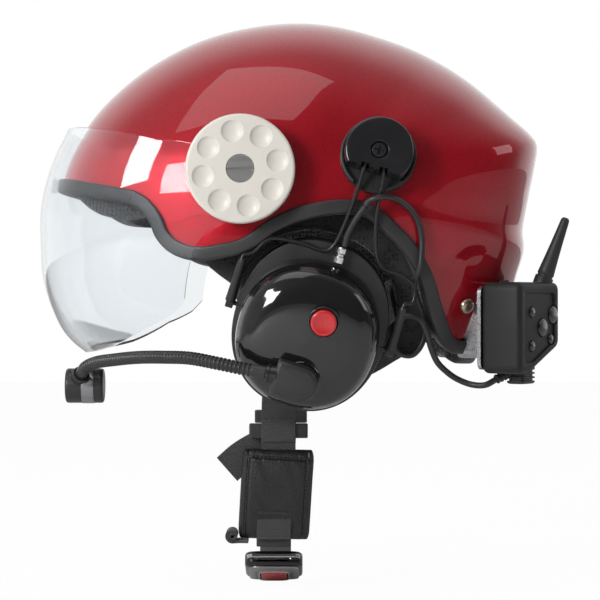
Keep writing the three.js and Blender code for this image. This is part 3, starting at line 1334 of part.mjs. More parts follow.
const intercomSide = sideGroup(intercomFrame, 1);
add('clamp_bracket', clampGeometry(), 'silver', intercomSide);
add('clamp_latch', latchBox(0, 0), 'matt', intercomSide);
add('intercom_body', intercomGeometry(), 'matt', intercomSide);
add('intercom_plug', plugGeometry(), 'rubber', intercomSide);
keyShares.forEach((key) => add(key.name, keyGeometry(key), 'rubber', intercomSide));
const antennaMesh = add('antenna', antennaGeometry(), 'rubber');
antennaMesh.position.copy(antennaFoot);

add('chin_pad', padGeometry(), 'leather');
const buckleSide = sideGroup(buckleFrame, 1);
add('buckle_tongue', tongueGeometry(), 'silver', buckleSide);
add('buckle_body', buckleGeometry(), 'silver', buckleSide);
add('buckle_release', releaseGeometry(), 'red', buckleSide);

export default group;
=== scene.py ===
import json

import bpy
import numpy as np
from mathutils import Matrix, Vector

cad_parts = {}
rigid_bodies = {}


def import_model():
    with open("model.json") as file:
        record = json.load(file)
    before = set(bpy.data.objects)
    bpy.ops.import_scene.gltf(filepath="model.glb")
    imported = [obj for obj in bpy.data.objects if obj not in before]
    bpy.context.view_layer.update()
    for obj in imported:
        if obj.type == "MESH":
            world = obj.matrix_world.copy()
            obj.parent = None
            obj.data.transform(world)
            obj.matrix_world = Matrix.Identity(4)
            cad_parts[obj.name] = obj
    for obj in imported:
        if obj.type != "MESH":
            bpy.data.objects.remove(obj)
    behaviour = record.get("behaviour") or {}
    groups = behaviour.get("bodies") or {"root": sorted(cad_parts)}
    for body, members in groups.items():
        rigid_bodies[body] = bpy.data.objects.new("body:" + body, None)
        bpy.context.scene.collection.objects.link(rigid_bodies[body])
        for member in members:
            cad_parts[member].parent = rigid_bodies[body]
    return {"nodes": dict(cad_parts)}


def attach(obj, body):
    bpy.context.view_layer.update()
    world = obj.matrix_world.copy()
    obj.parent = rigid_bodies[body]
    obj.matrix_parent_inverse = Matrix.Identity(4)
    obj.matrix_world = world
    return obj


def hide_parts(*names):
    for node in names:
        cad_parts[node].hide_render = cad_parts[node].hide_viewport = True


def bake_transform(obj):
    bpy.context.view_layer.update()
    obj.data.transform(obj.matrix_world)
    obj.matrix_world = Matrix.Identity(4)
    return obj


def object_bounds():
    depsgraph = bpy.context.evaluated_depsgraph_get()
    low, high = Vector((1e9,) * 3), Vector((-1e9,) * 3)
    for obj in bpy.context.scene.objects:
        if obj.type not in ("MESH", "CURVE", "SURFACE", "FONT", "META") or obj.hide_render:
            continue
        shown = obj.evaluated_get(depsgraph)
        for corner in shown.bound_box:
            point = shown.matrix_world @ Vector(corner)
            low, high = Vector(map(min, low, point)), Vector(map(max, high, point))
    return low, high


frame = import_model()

cad_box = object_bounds()

# Camera, lamps and surroundings: the helmet is seen square from its left side, in front of plain white,
# under a broad soft lamp overhead and two at the sides. The room is dimmer on the camera's side.
camera_data = bpy.data.cameras.new("side_view")
camera_data.sensor_width = 36.0
camera_data.lens = 126.2
camera_data.clip_end = 20.0
camera = bpy.data.objects.new("side_view", camera_data)
camera.location = (1.25, 0.0, -0.1244)
camera.rotation_euler = (np.pi / 2, 0.0, np.pi / 2)
bpy.context.scene.collection.objects.link(camera)
bpy.context.scene.camera = camera
bpy.context.scene.view_settings.view_transform = "Standard"


def soft_lamp(name, place, size, power, aim=(0.0, 0.0, -0.12)):
    """Square lamp at a place, turned to face the helmet."""
    data = bpy.data.lights.new(name, "AREA")
    data.size = size
    data.energy = power
    lamp = bpy.data.objects.new(name, data)
    lamp.location = place
    to_aim = Vector(aim) - Vector(place)
    lamp.rotation_euler = to_aim.to_track_quat("-Z", "Y").to_euler()
    bpy.context.scene.collection.objects.link(lamp)


soft_lamp("overhead_lamp", (0.5, -0.3, 1.0), 0.9, 3.2)
soft_lamp("front_lamp", (1.05, -0.85, 0.3), 0.4, 11.0)
soft_lamp("rear_lamp", (0.3, 1.1, 0.4), 0.5, 1.5)

world = bpy.data.worlds.new("studio")
world.use_nodes = True
bpy.context.scene.world = world
world.node_tree.nodes.clear()


def fill(node, inputs):
    """Gives each input of a node, by its name or number, a value or a link from the socket given."""
    for slot, given in inputs.items():
        if isinstance(given, bpy.types.NodeSocket):
            node.id_data.links.new(given, node.inputs[slot])
        else:
            node.inputs[slot].default_value = given


def adder(tree):
    """Call that adds a shader node of a kind to the tree, with its own settings and its inputs."""
    def add(kind, inputs=None, **settings):
        """Adds one node of a kind."""
        node = tree.nodes.new(f"ShaderNode{kind}")
        for setting, value in settings.items():
            setattr(node, setting, value)
        fill(node, inputs or {})
        return node
    return add


add = adder(world.node_tree)
ray, way = add("LightPath").outputs, add("TexCoord").outputs["Generated"]
near_camera = add("VectorMath", {0: way, 1: (0.88, 0.45, -0.15)}, operation="DOT_PRODUCT")
room = add("MapRange", {
    "Value": near_camera.outputs["Value"], "From Min": 0.8, "From Max": -0.3, "To Min": 0.08, "To Max": 0.5,
}, interpolation_type="SMOOTHSTEP")
behind = add("MapRange", {
    "Value": add("SeparateXYZ", {0: way}).outputs["X"], "From Min": -0.1, "From Max": -0.6,
}, interpolation_type="SMOOTHSTEP")
seen = add("Math", {0: ray["Is Camera Ray"], 1: ray["Is Transmission Ray"]}, operation="MAXIMUM")
reflected = add("Math", {0: ray["Is Glossy Ray"], 1: behind.outputs["Result"]}, operation="MULTIPLY")
white = add("Math", {0: seen.outputs[0], 1: reflected.outputs[0]}, operation="MAXIMUM")
level = add("Mix", {"Factor": white.outputs[0], "A": room.outputs["Result"], "B": 1.0})
backdrop = add("Background", {"Color": (1.0, 1.0, 1.0, 1.0), "Strength": level.outputs["Result"]})
add("OutputWorld", {"Surface": backdrop.outputs[0]})


def start_look(name):
    """New material: itself, its shader, and the call that adds nodes to it."""
    made = bpy.data.materials.new(name)
    made.use_nodes = True
    return made, made.node_tree.nodes["Principled BSDF"], adder(made.node_tree)


bpy.ops.mesh.primitive_plane_add(size=6.0, location=(0.0, 0.0, cad_box[0].z - 0.001))
floor = bpy.context.object
floor.name = "pale_floor"
floor_look, matt, add = start_look("pale_floor")
fill(matt, {"Base Color": (0.86, 0.86, 0.86, 1.0), "Roughness": 0.9})
glow = add("Emission", {"Strength": 1.014})
glow_share = add("Math", {0: add("LightPath").outputs["Is Camera Ray"], 1: 0.95}, operation="MULTIPLY")
pale = add("MixShader", {0: glow_share.outputs[0], 1: matt.outputs[0], 2: glow.outputs[0]})
fill(floor_look.node_tree.nodes["Material Output"], {"Surface": pale.outputs[0]})
floor.data.materials.append(floor_look)


# Ear lead: one round rubber cable, moulded in one length. It leaves the fitting on the cup, goes over
# the ear arch and down behind it with a loop of slack, and ends in the plug under the intercom.
def curve_through(places, stations):
    """Smooth curve through places: cubic pieces whose slopes come from the neighbours, weighed by the
    square root of their distance, then walked at even lengths or at the shares given."""
    p = np.asarray(places, float)
    ends = np.vstack([2 * p[:1] - p[1:2], p, 2 * p[-1:] - p[-2:-1]])
    a, b, c, d = (ends[k:len(ends) - 3 + k] for k in range(4))
    ab, bc, cd = (
        np.maximum(np.sum((v - u) ** 2, 1) ** 0.25, 1e-6)[:, None] for u, v in ((a, b), (b, c), (c, d))
    )
    leave = ((b - a) / ab - (c - a) / (ab + bc) + (c - b) / bc) * bc
    reach = ((c - b) / bc - (d - b) / (bc + cd) + (d - c) / cd) * bc
    t = np.linspace(0, 1, 40, endpoint=False)[:, None, None]
    cubic = b + leave * t + (3 * (c - b) - 2 * leave - reach) * t**2 + (leave + reach - 2 * (c - b)) * t**3
    dense = np.vstack([cubic.transpose(1, 0, 2).reshape(-1, p.shape[1]), p[-1:]])
    far = np.concatenate([[0], np.cumsum(np.linalg.norm(np.diff(dense, axis=0), axis=1))])
    shares = np.linspace(0, 1, stations) if np.isscalar(stations) else np.asarray(stations)
    return np.stack([np.interp(shares * far[-1], far, dense[:, k]) for k in range(p.shape[1])], 1)


def unit(v):
    """Arrows of length 1."""
    return v / np.maximum(np.linalg.norm(v, axis=-1, keepdims=True), 1e-12)


def sweep(line, section, lean):
    """Section carried along a line: each [a, b] point lies a along the side that is square to the line and
    to the lean direction, and b along the third direction."""
    along = unit(np.gradient(line, axis=0))
    side = unit(np.cross(np.broadcast_to(lean, line.shape), along))
    third = np.cross(along, side)
    section = np.asarray(section, float)
    return line[:, None] + side[:, None] * section[..., 0, None] + third[:, None] * section[..., 1, None]


def circle(radius, count):
    """Points radius * (cos, sin) at even angles."""
    angle = np.arange(count) * 2 * np.pi / count
    return radius * np.stack([np.cos(angle), np.sin(angle)], -1)


def grid_faces(rows, columns, loop_rows=False, loop_columns=True):
    """Four-sided faces between neighbours of a rows by columns grid, joined round where it loops."""
    i = np.arange(rows if loop_rows else rows - 1)[:, None]
    j = np.arange(columns if loop_columns else columns - 1)[None, :]
    near, far = i * columns, (i + 1) % rows * columns
    side = (j + 1) % columns
    return np.stack(np.broadcast_arrays(near + j, near + side, far + side, far + j), -1).reshape(-1, 4)


def closed(grid, loop_rows=False):
    """Closed skin over a grid of rings: its points, and its faces with a fan at each open end."""
    rows, columns = grid.shape[:2]
    points = grid.reshape(-1, 3)
    faces = grid_faces(rows, columns, loop_rows).tolist()
    if not loop_rows:
        points = np.vstack([points, grid[0].mean(0), grid[-1].mean(0)])
        j = np.arange(columns)
        first = np.stack([(j + 1) % columns, j, np.full(columns, rows * columns)], -1)
        last = (rows - 1) * columns + np.stack([j, (j + 1) % columns, np.full(columns, columns + 1)], -1)
        faces += first.tolist() + last.tolist()
    return points, faces


def tube(line, radius, count, lean):
    """Closed round bar along a line, of one radius or of one for each place of the line."""
    size = np.broadcast_to(radius, len(line))[:, None, None]
    return closed(sweep(line, circle(1, count) * size, lean))


def holds(points, faces):
    """Signed volume inside closed faces: the sum of corner . (next x last) / 6 over their triangles."""
    total = 0.0
    for size in (3, 4):
        f = np.array([face for face in faces if len(face) == size], int)
        for k in range(1, size - 1):
            if len(f):
                total += np.einsum("ij,ij->", points[f[:, 0]], np.cross(points[f[:, k]], points[f[:, k + 1]]))
    return total / 6


def outward(skin):
    """Skin with its faces turned outwards."""
    points, faces = skin
    return points, faces if holds(points, faces) > 0 else [face[::-1] for face in faces]


def soften(made, width, segments, harden=True):
    """Rounds the edges of a piece that bend by more than 30 degrees, by a bevel of a width in metres."""
    edge = made.modifiers.new("edge", "BEVEL")
    edge.width, edge.segments, edge.angle_limit = width, segments, np.radians(30)
    edge.harden_normals = harden


def make_piece(name, skin, finish, body, *nodes, sharp=35.0, uv=None, bevel=0.0):
    """Piece from points in millimetres and faces, turned outwards, on a body if one is named, in place of
    its nodes. Edges past the sharp angle stay hard, and a bevel softens them."""
    points, faces = outward(skin)
    mesh = bpy.data.meshes.new(name)
    mesh.from_pydata((points / 1000).tolist(), [], faces)
    mesh.materials.append(finish)
    mesh.shade_smooth()
    mesh.set_sharp_from_angle(angle=np.radians(sharp))
    if uv is not None:
        corner = np.zeros(len(mesh.loops), int)
        mesh.loops.foreach_get("vertex_index", corner)
        flat = np.vstack([uv.reshape(-1, 2), np.zeros((len(points) - uv[..., 0].size, 2))])
        mesh.uv_layers.new(name="along").data.foreach_set("uv", flat[corner].ravel())
    made = bpy.data.objects.new(name, mesh)
    bpy.context.scene.collection.objects.link(made)
    if bevel:
        soften(made, bevel / 1000, 2)
    if body:
        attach(made, body)
    if nodes:
        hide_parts(*nodes)
    return made


def effect_group(name, inputs, outputs):
    """Node group with inputs of (name, kind, value) and outputs of (name, kind). Gives the group, what its
    inputs put out, its output node, and the call that adds nodes to it."""
    group = bpy.data.node_groups.new(name, "ShaderNodeTree")
    for label, kind, value in inputs:
        socket = group.interface.new_socket(label, in_out="INPUT", socket_type=f"NodeSocket{kind}")
        socket.default_value = value
    for label, kind in outputs:
        group.interface.new_socket(label, in_out="OUTPUT", socket_type=f"NodeSocket{kind}")
    given, out = group.nodes.new("NodeGroupInput"), group.nodes.new("NodeGroupOutput")
    return group, given.outputs, out, adder(group)


def grain_group():
    """Moulded surface: a fine noise gives its bump, and a broad noise its change of tone and gloss."""
    group, given, out, add = effect_group("moulded_grain", [
        ("Colour", "Color", (0.02, 0.02, 0.02, 1)), ("Worn Colour", "Color", (0.05, 0.05, 0.05, 1)),
        ("Grain Size", "Float", 900.0), ("Grain Depth", "Float", 0.2), ("Gloss Low", "Float", 0.4),
        ("Gloss High", "Float", 0.55),
    ], [("Colour", "Color"), ("Roughness", "Float"), ("Normal", "Vector")])
    place = add("TexCoord").outputs["Object"]
    fine = add("TexNoise", {"Vector": place, "Scale": given["Grain Size"], "Detail": 3.0}).outputs["Fac"]
    broad = add("TexNoise", {"Vector": place, "Scale": 45.0, "Detail": 5.0}).outputs["Fac"]
    tone = add("Mix", {"Factor": broad, "A": given["Colour"], "B": given["Worn Colour"]}, data_type="RGBA")
    gloss = add("MapRange", {
        "Value": broad, "From Min": 0.3, "From Max": 0.7, "To Min": given["Gloss Low"],
        "To Max": given["Gloss High"],
    })
    bump = add("Bump", {"Height": fine, "Strength": given["Grain Depth"], "Distance": 0.0002})
    fill(out, {
        "Colour": tone.outputs["Result"], "Roughness": gloss.outputs["Result"],
        "Normal": bump.outputs["Normal"],
    })
    return group


moulded_grain = grain_group()


def moulded(name, colour, worn_and_lit_tone, gloss, grain=(900.0, 0.2), **sockets):
    """Material with the moulded grain: two tones, a low and a high roughness, and the grain's size and
    depth. More of the shader's sockets are given by name."""
    made, shader, add = start_look(name)
    grains = add("Group", node_tree=moulded_grain)
    fill(grains, {
        "Colour": (*colour, 1), "Worn Colour": (*worn_and_lit_tone, 1), "Grain Size": grain[0], "Grain Depth": grain[1],
        "Gloss Low": gloss[0], "Gloss High": gloss[1],
    })
    surface = grains.outputs
    fill(shader, {
        "Base Color": surface["Colour"], "Roughness": surface["Roughness"], "Normal": surface["Normal"],
    })
    fill(shader, {label.replace("_", " "): value for label, value in sockets.items()})
    return made


lead_rubber = moulded("lead_rubber", (0.012, 0.012, 0.013), (0.03, 0.03, 0.032), (0.32, 0.5), (1600.0, 0.12))
lead_radius = 1.7
lead_on_cup = np.array([(114.1, 24, -95.3), (115.4, 25.6, -89.4), (118, 30, -81), (120.6, 35, -74)])
lead_on_helmet = np.array([
    (122.8, 39.4, -70.2), (123.2, 44.4, -69.1), (121.8, 49.6, -69.6), (118.8, 55, -72), (115.8, 60.2, -76.4),
    (113.8, 64, -83), (113, 65.8, -91), (113, 65.8, -99), (112.6, 64.8, -107), (108.6, 62, -114.6),
    (101.6, 63.4, -122.6), (97, 66.4, -130.6), (95.4, 68.4, -140), (95, 66.6, -149), (94.6, 61.4, -154.6),
    (94.8, 54.6, -153.4), (96.4, 51, -145.6), (99, 52.8, -137.4), (101.2, 58.8, -133), (102, 65.2, -135),
    (101.6, 69.2, -142.4), (100, 71.8, -151), (97, 75.4, -158.6), (94, 80.8, -164), (92.6, 86, -167.6),
    (93.6, 94, -170.8), (97, 101.4, -171), (95.9, 107.6, -168),
])
lead_side = (1, 0, 0)
cup_stub_line = curve_through(lead_on_cup, 40)
stub_skin = tube(cup_stub_line, lead_radius, 20, lead_side)
make_piece("cup_lead_stub", stub_skin, lead_rubber, "cup_left", "cup_lead")
stub_way = unit(cup_stub_line[-1] - cup_stub_line[-2])
lead_start = cup_stub_line[-1] + stub_way * np.array([[0.4], [3.4]])
lead_line = curve_through(np.vstack([lead_start, lead_on_helmet]), 420)
ear_lead = make_piece(
    "ear_lead_cable", tube(lead_line, lead_radius, 20, lead_side), lead_rubber, None, "ear_lead",
    "intercom_lead",
)
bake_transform(ear_lead)


# Helmet shell: hand-laid fibre and resin with a deep red metallic paint under clear lacquer. It is one
# moulding with broad flat sides, a tail edge, an arched rear vent and a shallow hollow over each lobe.
shell_pole = np.array([0.0, 6.0, -65.0])
crown_radius, shell_half_width, shell_wall = 103.0, 112.0, 4.0
outline_shares = [
    (-90, 1.53), (-60, 1.46), (-40, 1.32), (-32, 1.28), (-21, 1.243), (-14, 1.236), (-9, 1.206), (0, 1.223),
    (7, 1.262), (12.5, 1.301), (15, 1.286), (21, 1.218), (28, 1.16), (42, 1.085), (56, 1.029), (70, 0.996),
    (90, 1), (110, 1.038), (131, 1.128), (147, 1.226), (161, 1.33), (175, 1.42), (190, 1.44), (235, 1.476),
]
squareness_shares = [
    (-60, 2.8), (-25, 3.4), (5, 4), (14, 3.8), (30, 3), (50, 2.4), (90, 2.3), (160, 2.3), (235, 2.6),
]
rim_shares = np.array([
    (-0.945, -0.032), (-0.876, -0.078), (-0.821, -0.152), (-0.789, -0.227), (-0.736, -0.285),
    (-0.661, -0.322), (-0.572, -0.333), (-0.482, -0.322), (-0.376, -0.299), (-0.296, -0.259),
    (-0.217, -0.199), (-0.138, -0.159),
    (-0.058, -0.128), (0.116, -0.093), (0.264, -0.096), (0.338, -0.133), (0.401, -0.188), (0.523, -0.316),
    (0.598, -0.447), (0.652, -0.619), (0.695, -0.737), (0.717, -0.785), (0.758, -0.821), (0.801, -0.829),
    (0.869, -0.814),
])
brow_end, nape_end = (-1.5, 0.086), (1.25, -0.838)


def ring_value(rows, angle):
    """Closed curve through rows of (angle, value) in degrees: cubic between rows, with the neighbours'
    slopes."""
    at, value = np.array(rows, float).T
    at = np.concatenate([[at[-1] - 360], at, at[:2] + 360])
    value = np.concatenate([[value[-1]], value, value[:2]])
    turned = (np.asarray(angle) - at[1]) % 360 + at[1]
    k = np.clip(np.searchsorted(at, turned, side="right") - 1, 1, len(at) - 3)
    span, rise = at[k + 1] - at[k], value[k + 1] - value[k]
    t = (turned - at[k]) / span
    leave = (value[k + 1] - value[k - 1]) / (at[k + 1] - at[k - 1]) * span
    reach = (value[k + 2] - value[k]) / (at[k + 2] - at[k]) * span
    return value[k] + t * leave + t**2 * (3 * rise - 2 * leave - reach) + t**3 * (leave + reach - 2 * rise)


def shell_form(y, z, inset=0.0):
    """Outline radius and squareness at the angle of (y, z) about the side pole."""
    angle = np.degrees(np.arctan2(z - shell_pole[2], y - shell_pole[1]))
    return crown_radius * ring_value(outline_shares, angle) - inset, ring_value(squareness_shares, angle)


def shell_reach(way, inset=0.0):
    """Point of the shell along a direction from its middle, where
    (side reach / radius)^p + (width / half width)^p = 1."""
    radius, power = shell_form(shell_pole[1] + way[..., 1], shell_pole[2] + way[..., 2], inset)
    level = (np.hypot(way[..., 1], way[..., 2]) / radius) ** power
    level = level + (np.abs(way[..., 0]) / (shell_half_width - inset)) ** power
    return shell_pole + way * (level ** (-1 / power))[..., None]


def shell_width(y, z, inset=0.0):
    """Half width of the shell at a side-view place, 0 outside its outline."""
    radius, power = shell_form(y, z, inset)
    share = np.hypot(y - shell_pole[1], z - shell_pole[2]) / radius
    return (shell_half_width - inset) * np.maximum(1 - share**power, 0) ** (1 / power)


def shell_level(p):
    """(side reach / radius)^p + (width / half width)^p, which is 1 on the shell."""
    radius, power = shell_form(p[..., 1], p[..., 2])
    side = (np.hypot(p[..., 1] - shell_pole[1], p[..., 2] - shell_pole[2]) / radius) ** power
    return side + (np.abs(p[..., 0]) / shell_half_width) ** power


def slope(level, points, step):
    """Direction in which a level rises fastest, by small steps along each axis."""
    return unit(np.stack([level(points + s) - level(points - s) for s in step * np.eye(3)], -1))


def rim_to_middle(start, share_end, steps):
    """Straight side-view line from the side rim past the middle plane, at even turns about the helmet."""
    end = shell_pole[1:] + crown_radius * np.array(share_end)
    t = np.linspace(0, 1, 4000)[:, None]
    line = start + t * (end - start)
    width = shell_width(line[:, 0], line[:, 1])
    last = int(np.argmax(width <= 0)) or len(width) - 1
    wanted = width[0] * np.cos(np.arange(1, steps + 1) / steps * np.pi / 2)
    at = np.interp(wanted, width[:last + 1][::-1], t[:last + 1, 0][::-1])[:, None]
    return np.column_stack([wanted, start + at * (end - start)])


side_rim = curve_through(shell_pole[1:] + crown_radius * rim_shares, 190)
side_rim = np.column_stack([shell_width(*side_rim.T), side_rim])
brow_rim = rim_to_middle(side_rim[0, 1:], brow_end, 48)[::-1]
nape_rim = rim_to_middle(side_rim[-1, 1:], nape_end, 48)
left_rim = np.vstack([brow_rim, side_rim, nape_rim])
rim = np.vstack([left_rim, left_rim[-2:0:-1] * (-1, 1, 1)])
rim_along = unit(np.roll(rim, -1, 0) - np.roll(rim, 1, 0))
rim_normal = slope(shell_level, rim, 0.1)
rim_out = unit(np.cross(rim_along, rim_normal))


dent_middle, dent_lean, dent_depth = (90.0, -103.0), (0.93, 0.36), 2.0


def shell_dent(points):
    """Depth of the soft hollow over each rear lobe, with a crease along its upper edge: depth times
    exp(-(along / 15)^4 - (over / 5)^2), with over / 17 below its middle."""
    y, z = points[..., 1] - dent_middle[0], points[..., 2] - dent_middle[1]
    along, over = y * dent_lean[0] + z * dent_lean[1], z * dent_lean[0] - y * dent_lean[1]
    return dent_depth * np.exp(-((along / 15) ** 4) - (np.where(over > 0, over / 5.0, over / 17.0)) ** 2)


def turned_up(starts, shares):
    """Directions turned from starts to straight up, by shares of the great circle between them."""
    top = np.array([0.0, 0.0, 1.0])
    turn = np.arccos(np.clip(starts @ top, -1, 1))[:, None]
    t = shares[:, None, None]
    return (np.sin((1 - t) * turn) * starts + np.sin(t * turn) * top) / np.sin(turn)


def shell_side(inset, shares):
    """Surface from the rim up to the crown, sunk by the dents."""
    surface = shell_reach(turned_up(unit(rim - shell_pole), shares), inset)
    return surface - slope(shell_level, surface, 0.1) * shell_dent(surface)[..., None]


outer_side = shell_side(0.0, 1 - np.cos(np.linspace(0, 1, 110) ** 0.9 * np.pi / 2))[:-1]
inner_side = shell_side(shell_wall, np.linspace(0, 1, 40))[:-1]
shell_skin = closed(np.concatenate([outer_side[::-1], inner_side]))


def metallic_lacquer():
    """Red paint with metal flake under clear coat: fine cells change the flake's shade and gloss, and a
    broad noise the tone."""
    made, shader, add = start_look("red_lacquer")
    place = add("TexCoord").outputs["Object"]
    flake = add("TexVoronoi", {"Vector": place, "Scale": 2600.0}).outputs["Color"]
    cloud = add("TexNoise", {"Vector": place, "Scale": 9.0}).outputs["Fac"]
    shine = add("SeparateColor", {0: flake}).outputs
    tone = add("Mix", {
        "Factor": shine[0], "A": (0.3, 0.003, 0.01, 1), "B": (0.46, 0.006, 0.018, 1),
    }, data_type="RGBA")
    depth = add("Mix", {
        "Factor": cloud, "A": tone.outputs["Result"], "B": (0.8, 0.74, 0.78, 1),
    }, data_type="RGBA", blend_type="MULTIPLY")
    rough = add("MapRange", {"Value": shine[1], "To Min": 0.36, "To Max": 0.5})
    fill(shader, {
        "Base Color": depth.outputs["Result"], "Roughness": rough.outputs["Result"], "Metallic": 0.4,
        "Specular IOR Level": 0.08, "Coat Weight": 1.0, "Coat Roughness": 0.025, "Coat IOR": 1.55,
    })
    return made


red_lacquer = metallic_lacquer()
shell = make_piece("shell_lacquered", shell_skin, red_lacquer, "helmet", "outer_shell", sharp=60)
vent_half, vent_sill, vent_crown = 22.0, -62.5, -48.5


def vent_prism(near, far):
    """Arched window carried along Y: half width * cos, and the rise * sqrt(sin) over its sill."""
    angle = np.linspace(0, np.pi, 40)
    arch = vent_half * np.cos(angle), vent_sill + (vent_crown - vent_sill) * np.sqrt(np.sin(angle))
    return closed(np.stack([np.column_stack([arch[0], np.full(40, y), arch[1]]) for y in (near, far)]))


cutter = make_piece("vent_window", vent_prism(60.0, 180.0), red_lacquer, "helmet")
window = shell.modifiers.new("vent", "BOOLEAN")
window.operation, window.object, window.solver = "DIFFERENCE", cutter, "EXACT"
bpy.context.view_layer.update()
cut_shell = bpy.data.meshes.new_from_object(shell.evaluated_get(bpy.context.evaluated_depsgraph_get()))
shell.modifiers.clear()
shell.data = cut_shell
bpy.data.objects.remove(cutter)


# Rear vent mesh: a fine cloth of woven steel wire, cut to the window's arch and glued inside the shell
# behind it.
def wire_cloth():
    """Wire cloth: two crossed bands of waves raise the wires, and the holes between them are painted near
    black as painted shade for the dim inside seen through them.
    """
    made, shader, add = start_look("vent_wire_cloth")
    place = add("TexCoord").outputs["Object"]
    bands = [add("TexWave", {"Vector": place, "Scale": 260.0}, bands_direction=axis) for axis in ("X", "Z")]
    wires = {k: band.outputs["Fac"] for k, band in enumerate(bands)}
    raised = add("Math", wires, operation="MAXIMUM").outputs[0]
    # Wires get the light colour and the holes the near-black one, which is painted shade in the holes.
    tone = add("Mix", {
        "Factor": raised, "A": (0.03, 0.025, 0.02, 1), "B": (0.45, 0.4, 0.33, 1),
    }, data_type="RGBA")
    bump = add("Bump", {"Height": raised, "Distance": 0.0006})
    fill(shader, {
        "Base Color": tone.outputs["Result"], "Normal": bump.outputs["Normal"], "Roughness": 0.5,
        "Metallic": 0.6,
    })
    return made


cloth_x, cloth_z = np.meshgrid(np.linspace(-21.7, 21.7, 60), np.linspace(-62.2, -48.8, 24), indexing="ij")
cloth_rise = np.sqrt(np.sqrt(np.maximum(1 - (cloth_x / vent_half) ** 2, 0.0)))
cloth_z = np.minimum(cloth_z, vent_sill + (vent_crown - vent_sill) * cloth_rise - 0.3)
cloth_way = np.stack([cloth_x, np.full_like(cloth_x, 120.0), cloth_z - shell_pole[2]], -1)
outer_y, inner_y = (shell_reach(cloth_way, depth)[..., 1] for depth in (1.9, 2.9))
cloth_skin = np.concatenate([
    np.stack([cloth_x, outer_y, cloth_z], -1), np.stack([cloth_x, inner_y, cloth_z], -1)[:, ::-1],
], axis=1)
make_piece("vent_cloth", closed(cloth_skin), wire_cloth(), "helmet", "rear_vent_mesh", sharp=50)


# Edge trim: an extruded rubber U that grips the shell's rim all round, with a thick rounded lip.
trim_leg, trim_outer, trim_inner, trim_lip = 4.2, 3.1, 2.6, 3.8


def rounded(corners, radius, steps=4):
    """Polygon of [a, b] corners with each corner turned into an arc-like quadratic bend of that radius."""
    corners = np.asarray(corners, float)
    radius = np.broadcast_to(radius, len(corners))[:, None]
    start, end = (
        corners + unit(v) * np.minimum(radius, np.linalg.norm(v, axis=1, keepdims=True) * 0.48)
        for v in (np.roll(corners, 1, 0) - corners, np.roll(corners, -1, 0) - corners)
    )
    t = np.linspace(0, 1, steps + 1)[:, None, None]
    bend = (1 - t) ** 2 * start + 2 * t * (1 - t) * corners + t**2 * end
    return bend.transpose(1, 0, 2).reshape(-1, 2)


def along_rim(section, keep=slice(None)):
    """Section of [out past the rim, away from the shell] points carried round the rim."""
    section = np.asarray(section, float)
    out, away = rim_out[keep][:, None], rim_normal[keep][:, None]
    return rim[keep][:, None] + out * section[..., 0, None] + away * section[..., 1, None]


trim_section = rounded([
    (-trim_leg, 0.35), (1.2, 0.35), (1.2, -shell_wall - 0.4), (-trim_leg, -shell_wall - 0.4),
    (-trim_leg, -shell_wall - trim_inner), (trim_lip, -shell_wall - trim_inner), (trim_lip, trim_outer),
    (-trim_leg, trim_outer),
], (0.25, 0.1, 0.1, 0.25, 0.5, 2.2, 2.2, 1.2))
trim_rubber = moulded(
    "trim_rubber", (0.014, 0.014, 0.015), (0.035, 0.035, 0.036), (0.35, 0.6), (1400.0, 0.15),
)
make_piece(
    "rim_trim_rubber", closed(along_rim(trim_section), True), trim_rubber, "helmet", "edge_trim", sharp=50,
)


# Linings: a moulded bead-foam liner bonded in the shell, a brushed cloth comfort liner over it, and
# spacer-mesh padding round the rim that hangs lower at the brow.
foam_white = moulded("bead_foam", (0.6, 0.57, 0.5), (0.7, 0.68, 0.62), (0.85, 0.95), (260.0, 0.6))


def paint(node, finish):
    """Gives a node of the model its own material."""
    kept = frame["nodes"][node]
    kept.data.materials.clear()
    kept.data.materials.append(finish)
    return kept


paint("eps_liner", foam_white)


def cloth_group():
    """Knitted spacer mesh: a cell pattern gives open holes, and a noise lifts single fibres. The holes are
    coloured darker than the threads round them, as painted shade in the holes.
    """
    group, given, out, add = effect_group("knitted_mesh", [
        ("Colour", "Color", (0.02, 0.02, 0.022, 1)), ("Thread Colour", "Color", (0.06, 0.06, 0.065, 1)),
        ("Cell Size", "Float", 420.0), ("Depth", "Float", 0.8),
    ], [("Colour", "Color"), ("Normal", "Vector")])
    place = add("TexCoord").outputs["Object"]
    cells = add("TexVoronoi", {
        "Vector": place, "Scale": given["Cell Size"], "Randomness": 0.35,
    }, feature="F1")
    fibre = add("TexNoise", {"Vector": place, "Scale": 2400.0}).outputs["Fac"]
    hole = add("MapRange", {
        "Value": cells.outputs["Distance"], "From Min": 0.18, "From Max": 0.5,
    }, interpolation_type="SMOOTHSTEP").outputs["Result"]
    height = add("Math", {0: fibre, 1: 0.25, 2: hole}, operation="MULTIPLY_ADD")
    # Colour fills the sunken holes and Thread Colour the raised threads: the darker holes are painted shade.
    tone = add("Mix", {"Factor": hole, "A": given["Colour"], "B": given["Thread Colour"]}, data_type="RGBA")
    bump = add("Bump", {"Height": height.outputs[0], "Strength": given["Depth"], "Distance": 0.0008})
    fill(out, {"Colour": tone.outputs["Result"], "Normal": bump.outputs["Normal"]})
    return group


knitted_mesh = cloth_group()


def knitted(name, colour, thread, cell, depth):
    """Cloth with the knitted mesh and a soft sheen."""
    made, shader, add = start_look(name)
    knit = add("Group", node_tree=knitted_mesh)
    fill(knit, {"Colour": (*colour, 1), "Thread Colour": (*thread, 1), "Cell Size": cell, "Depth": depth})
    fill(shader, {
        "Base Color": knit.outputs["Colour"], "Normal": knit.outputs["Normal"], "Roughness": 0.85,
        "Sheen Weight": 0.35, "Sheen Roughness": 0.4,
    })
    return made


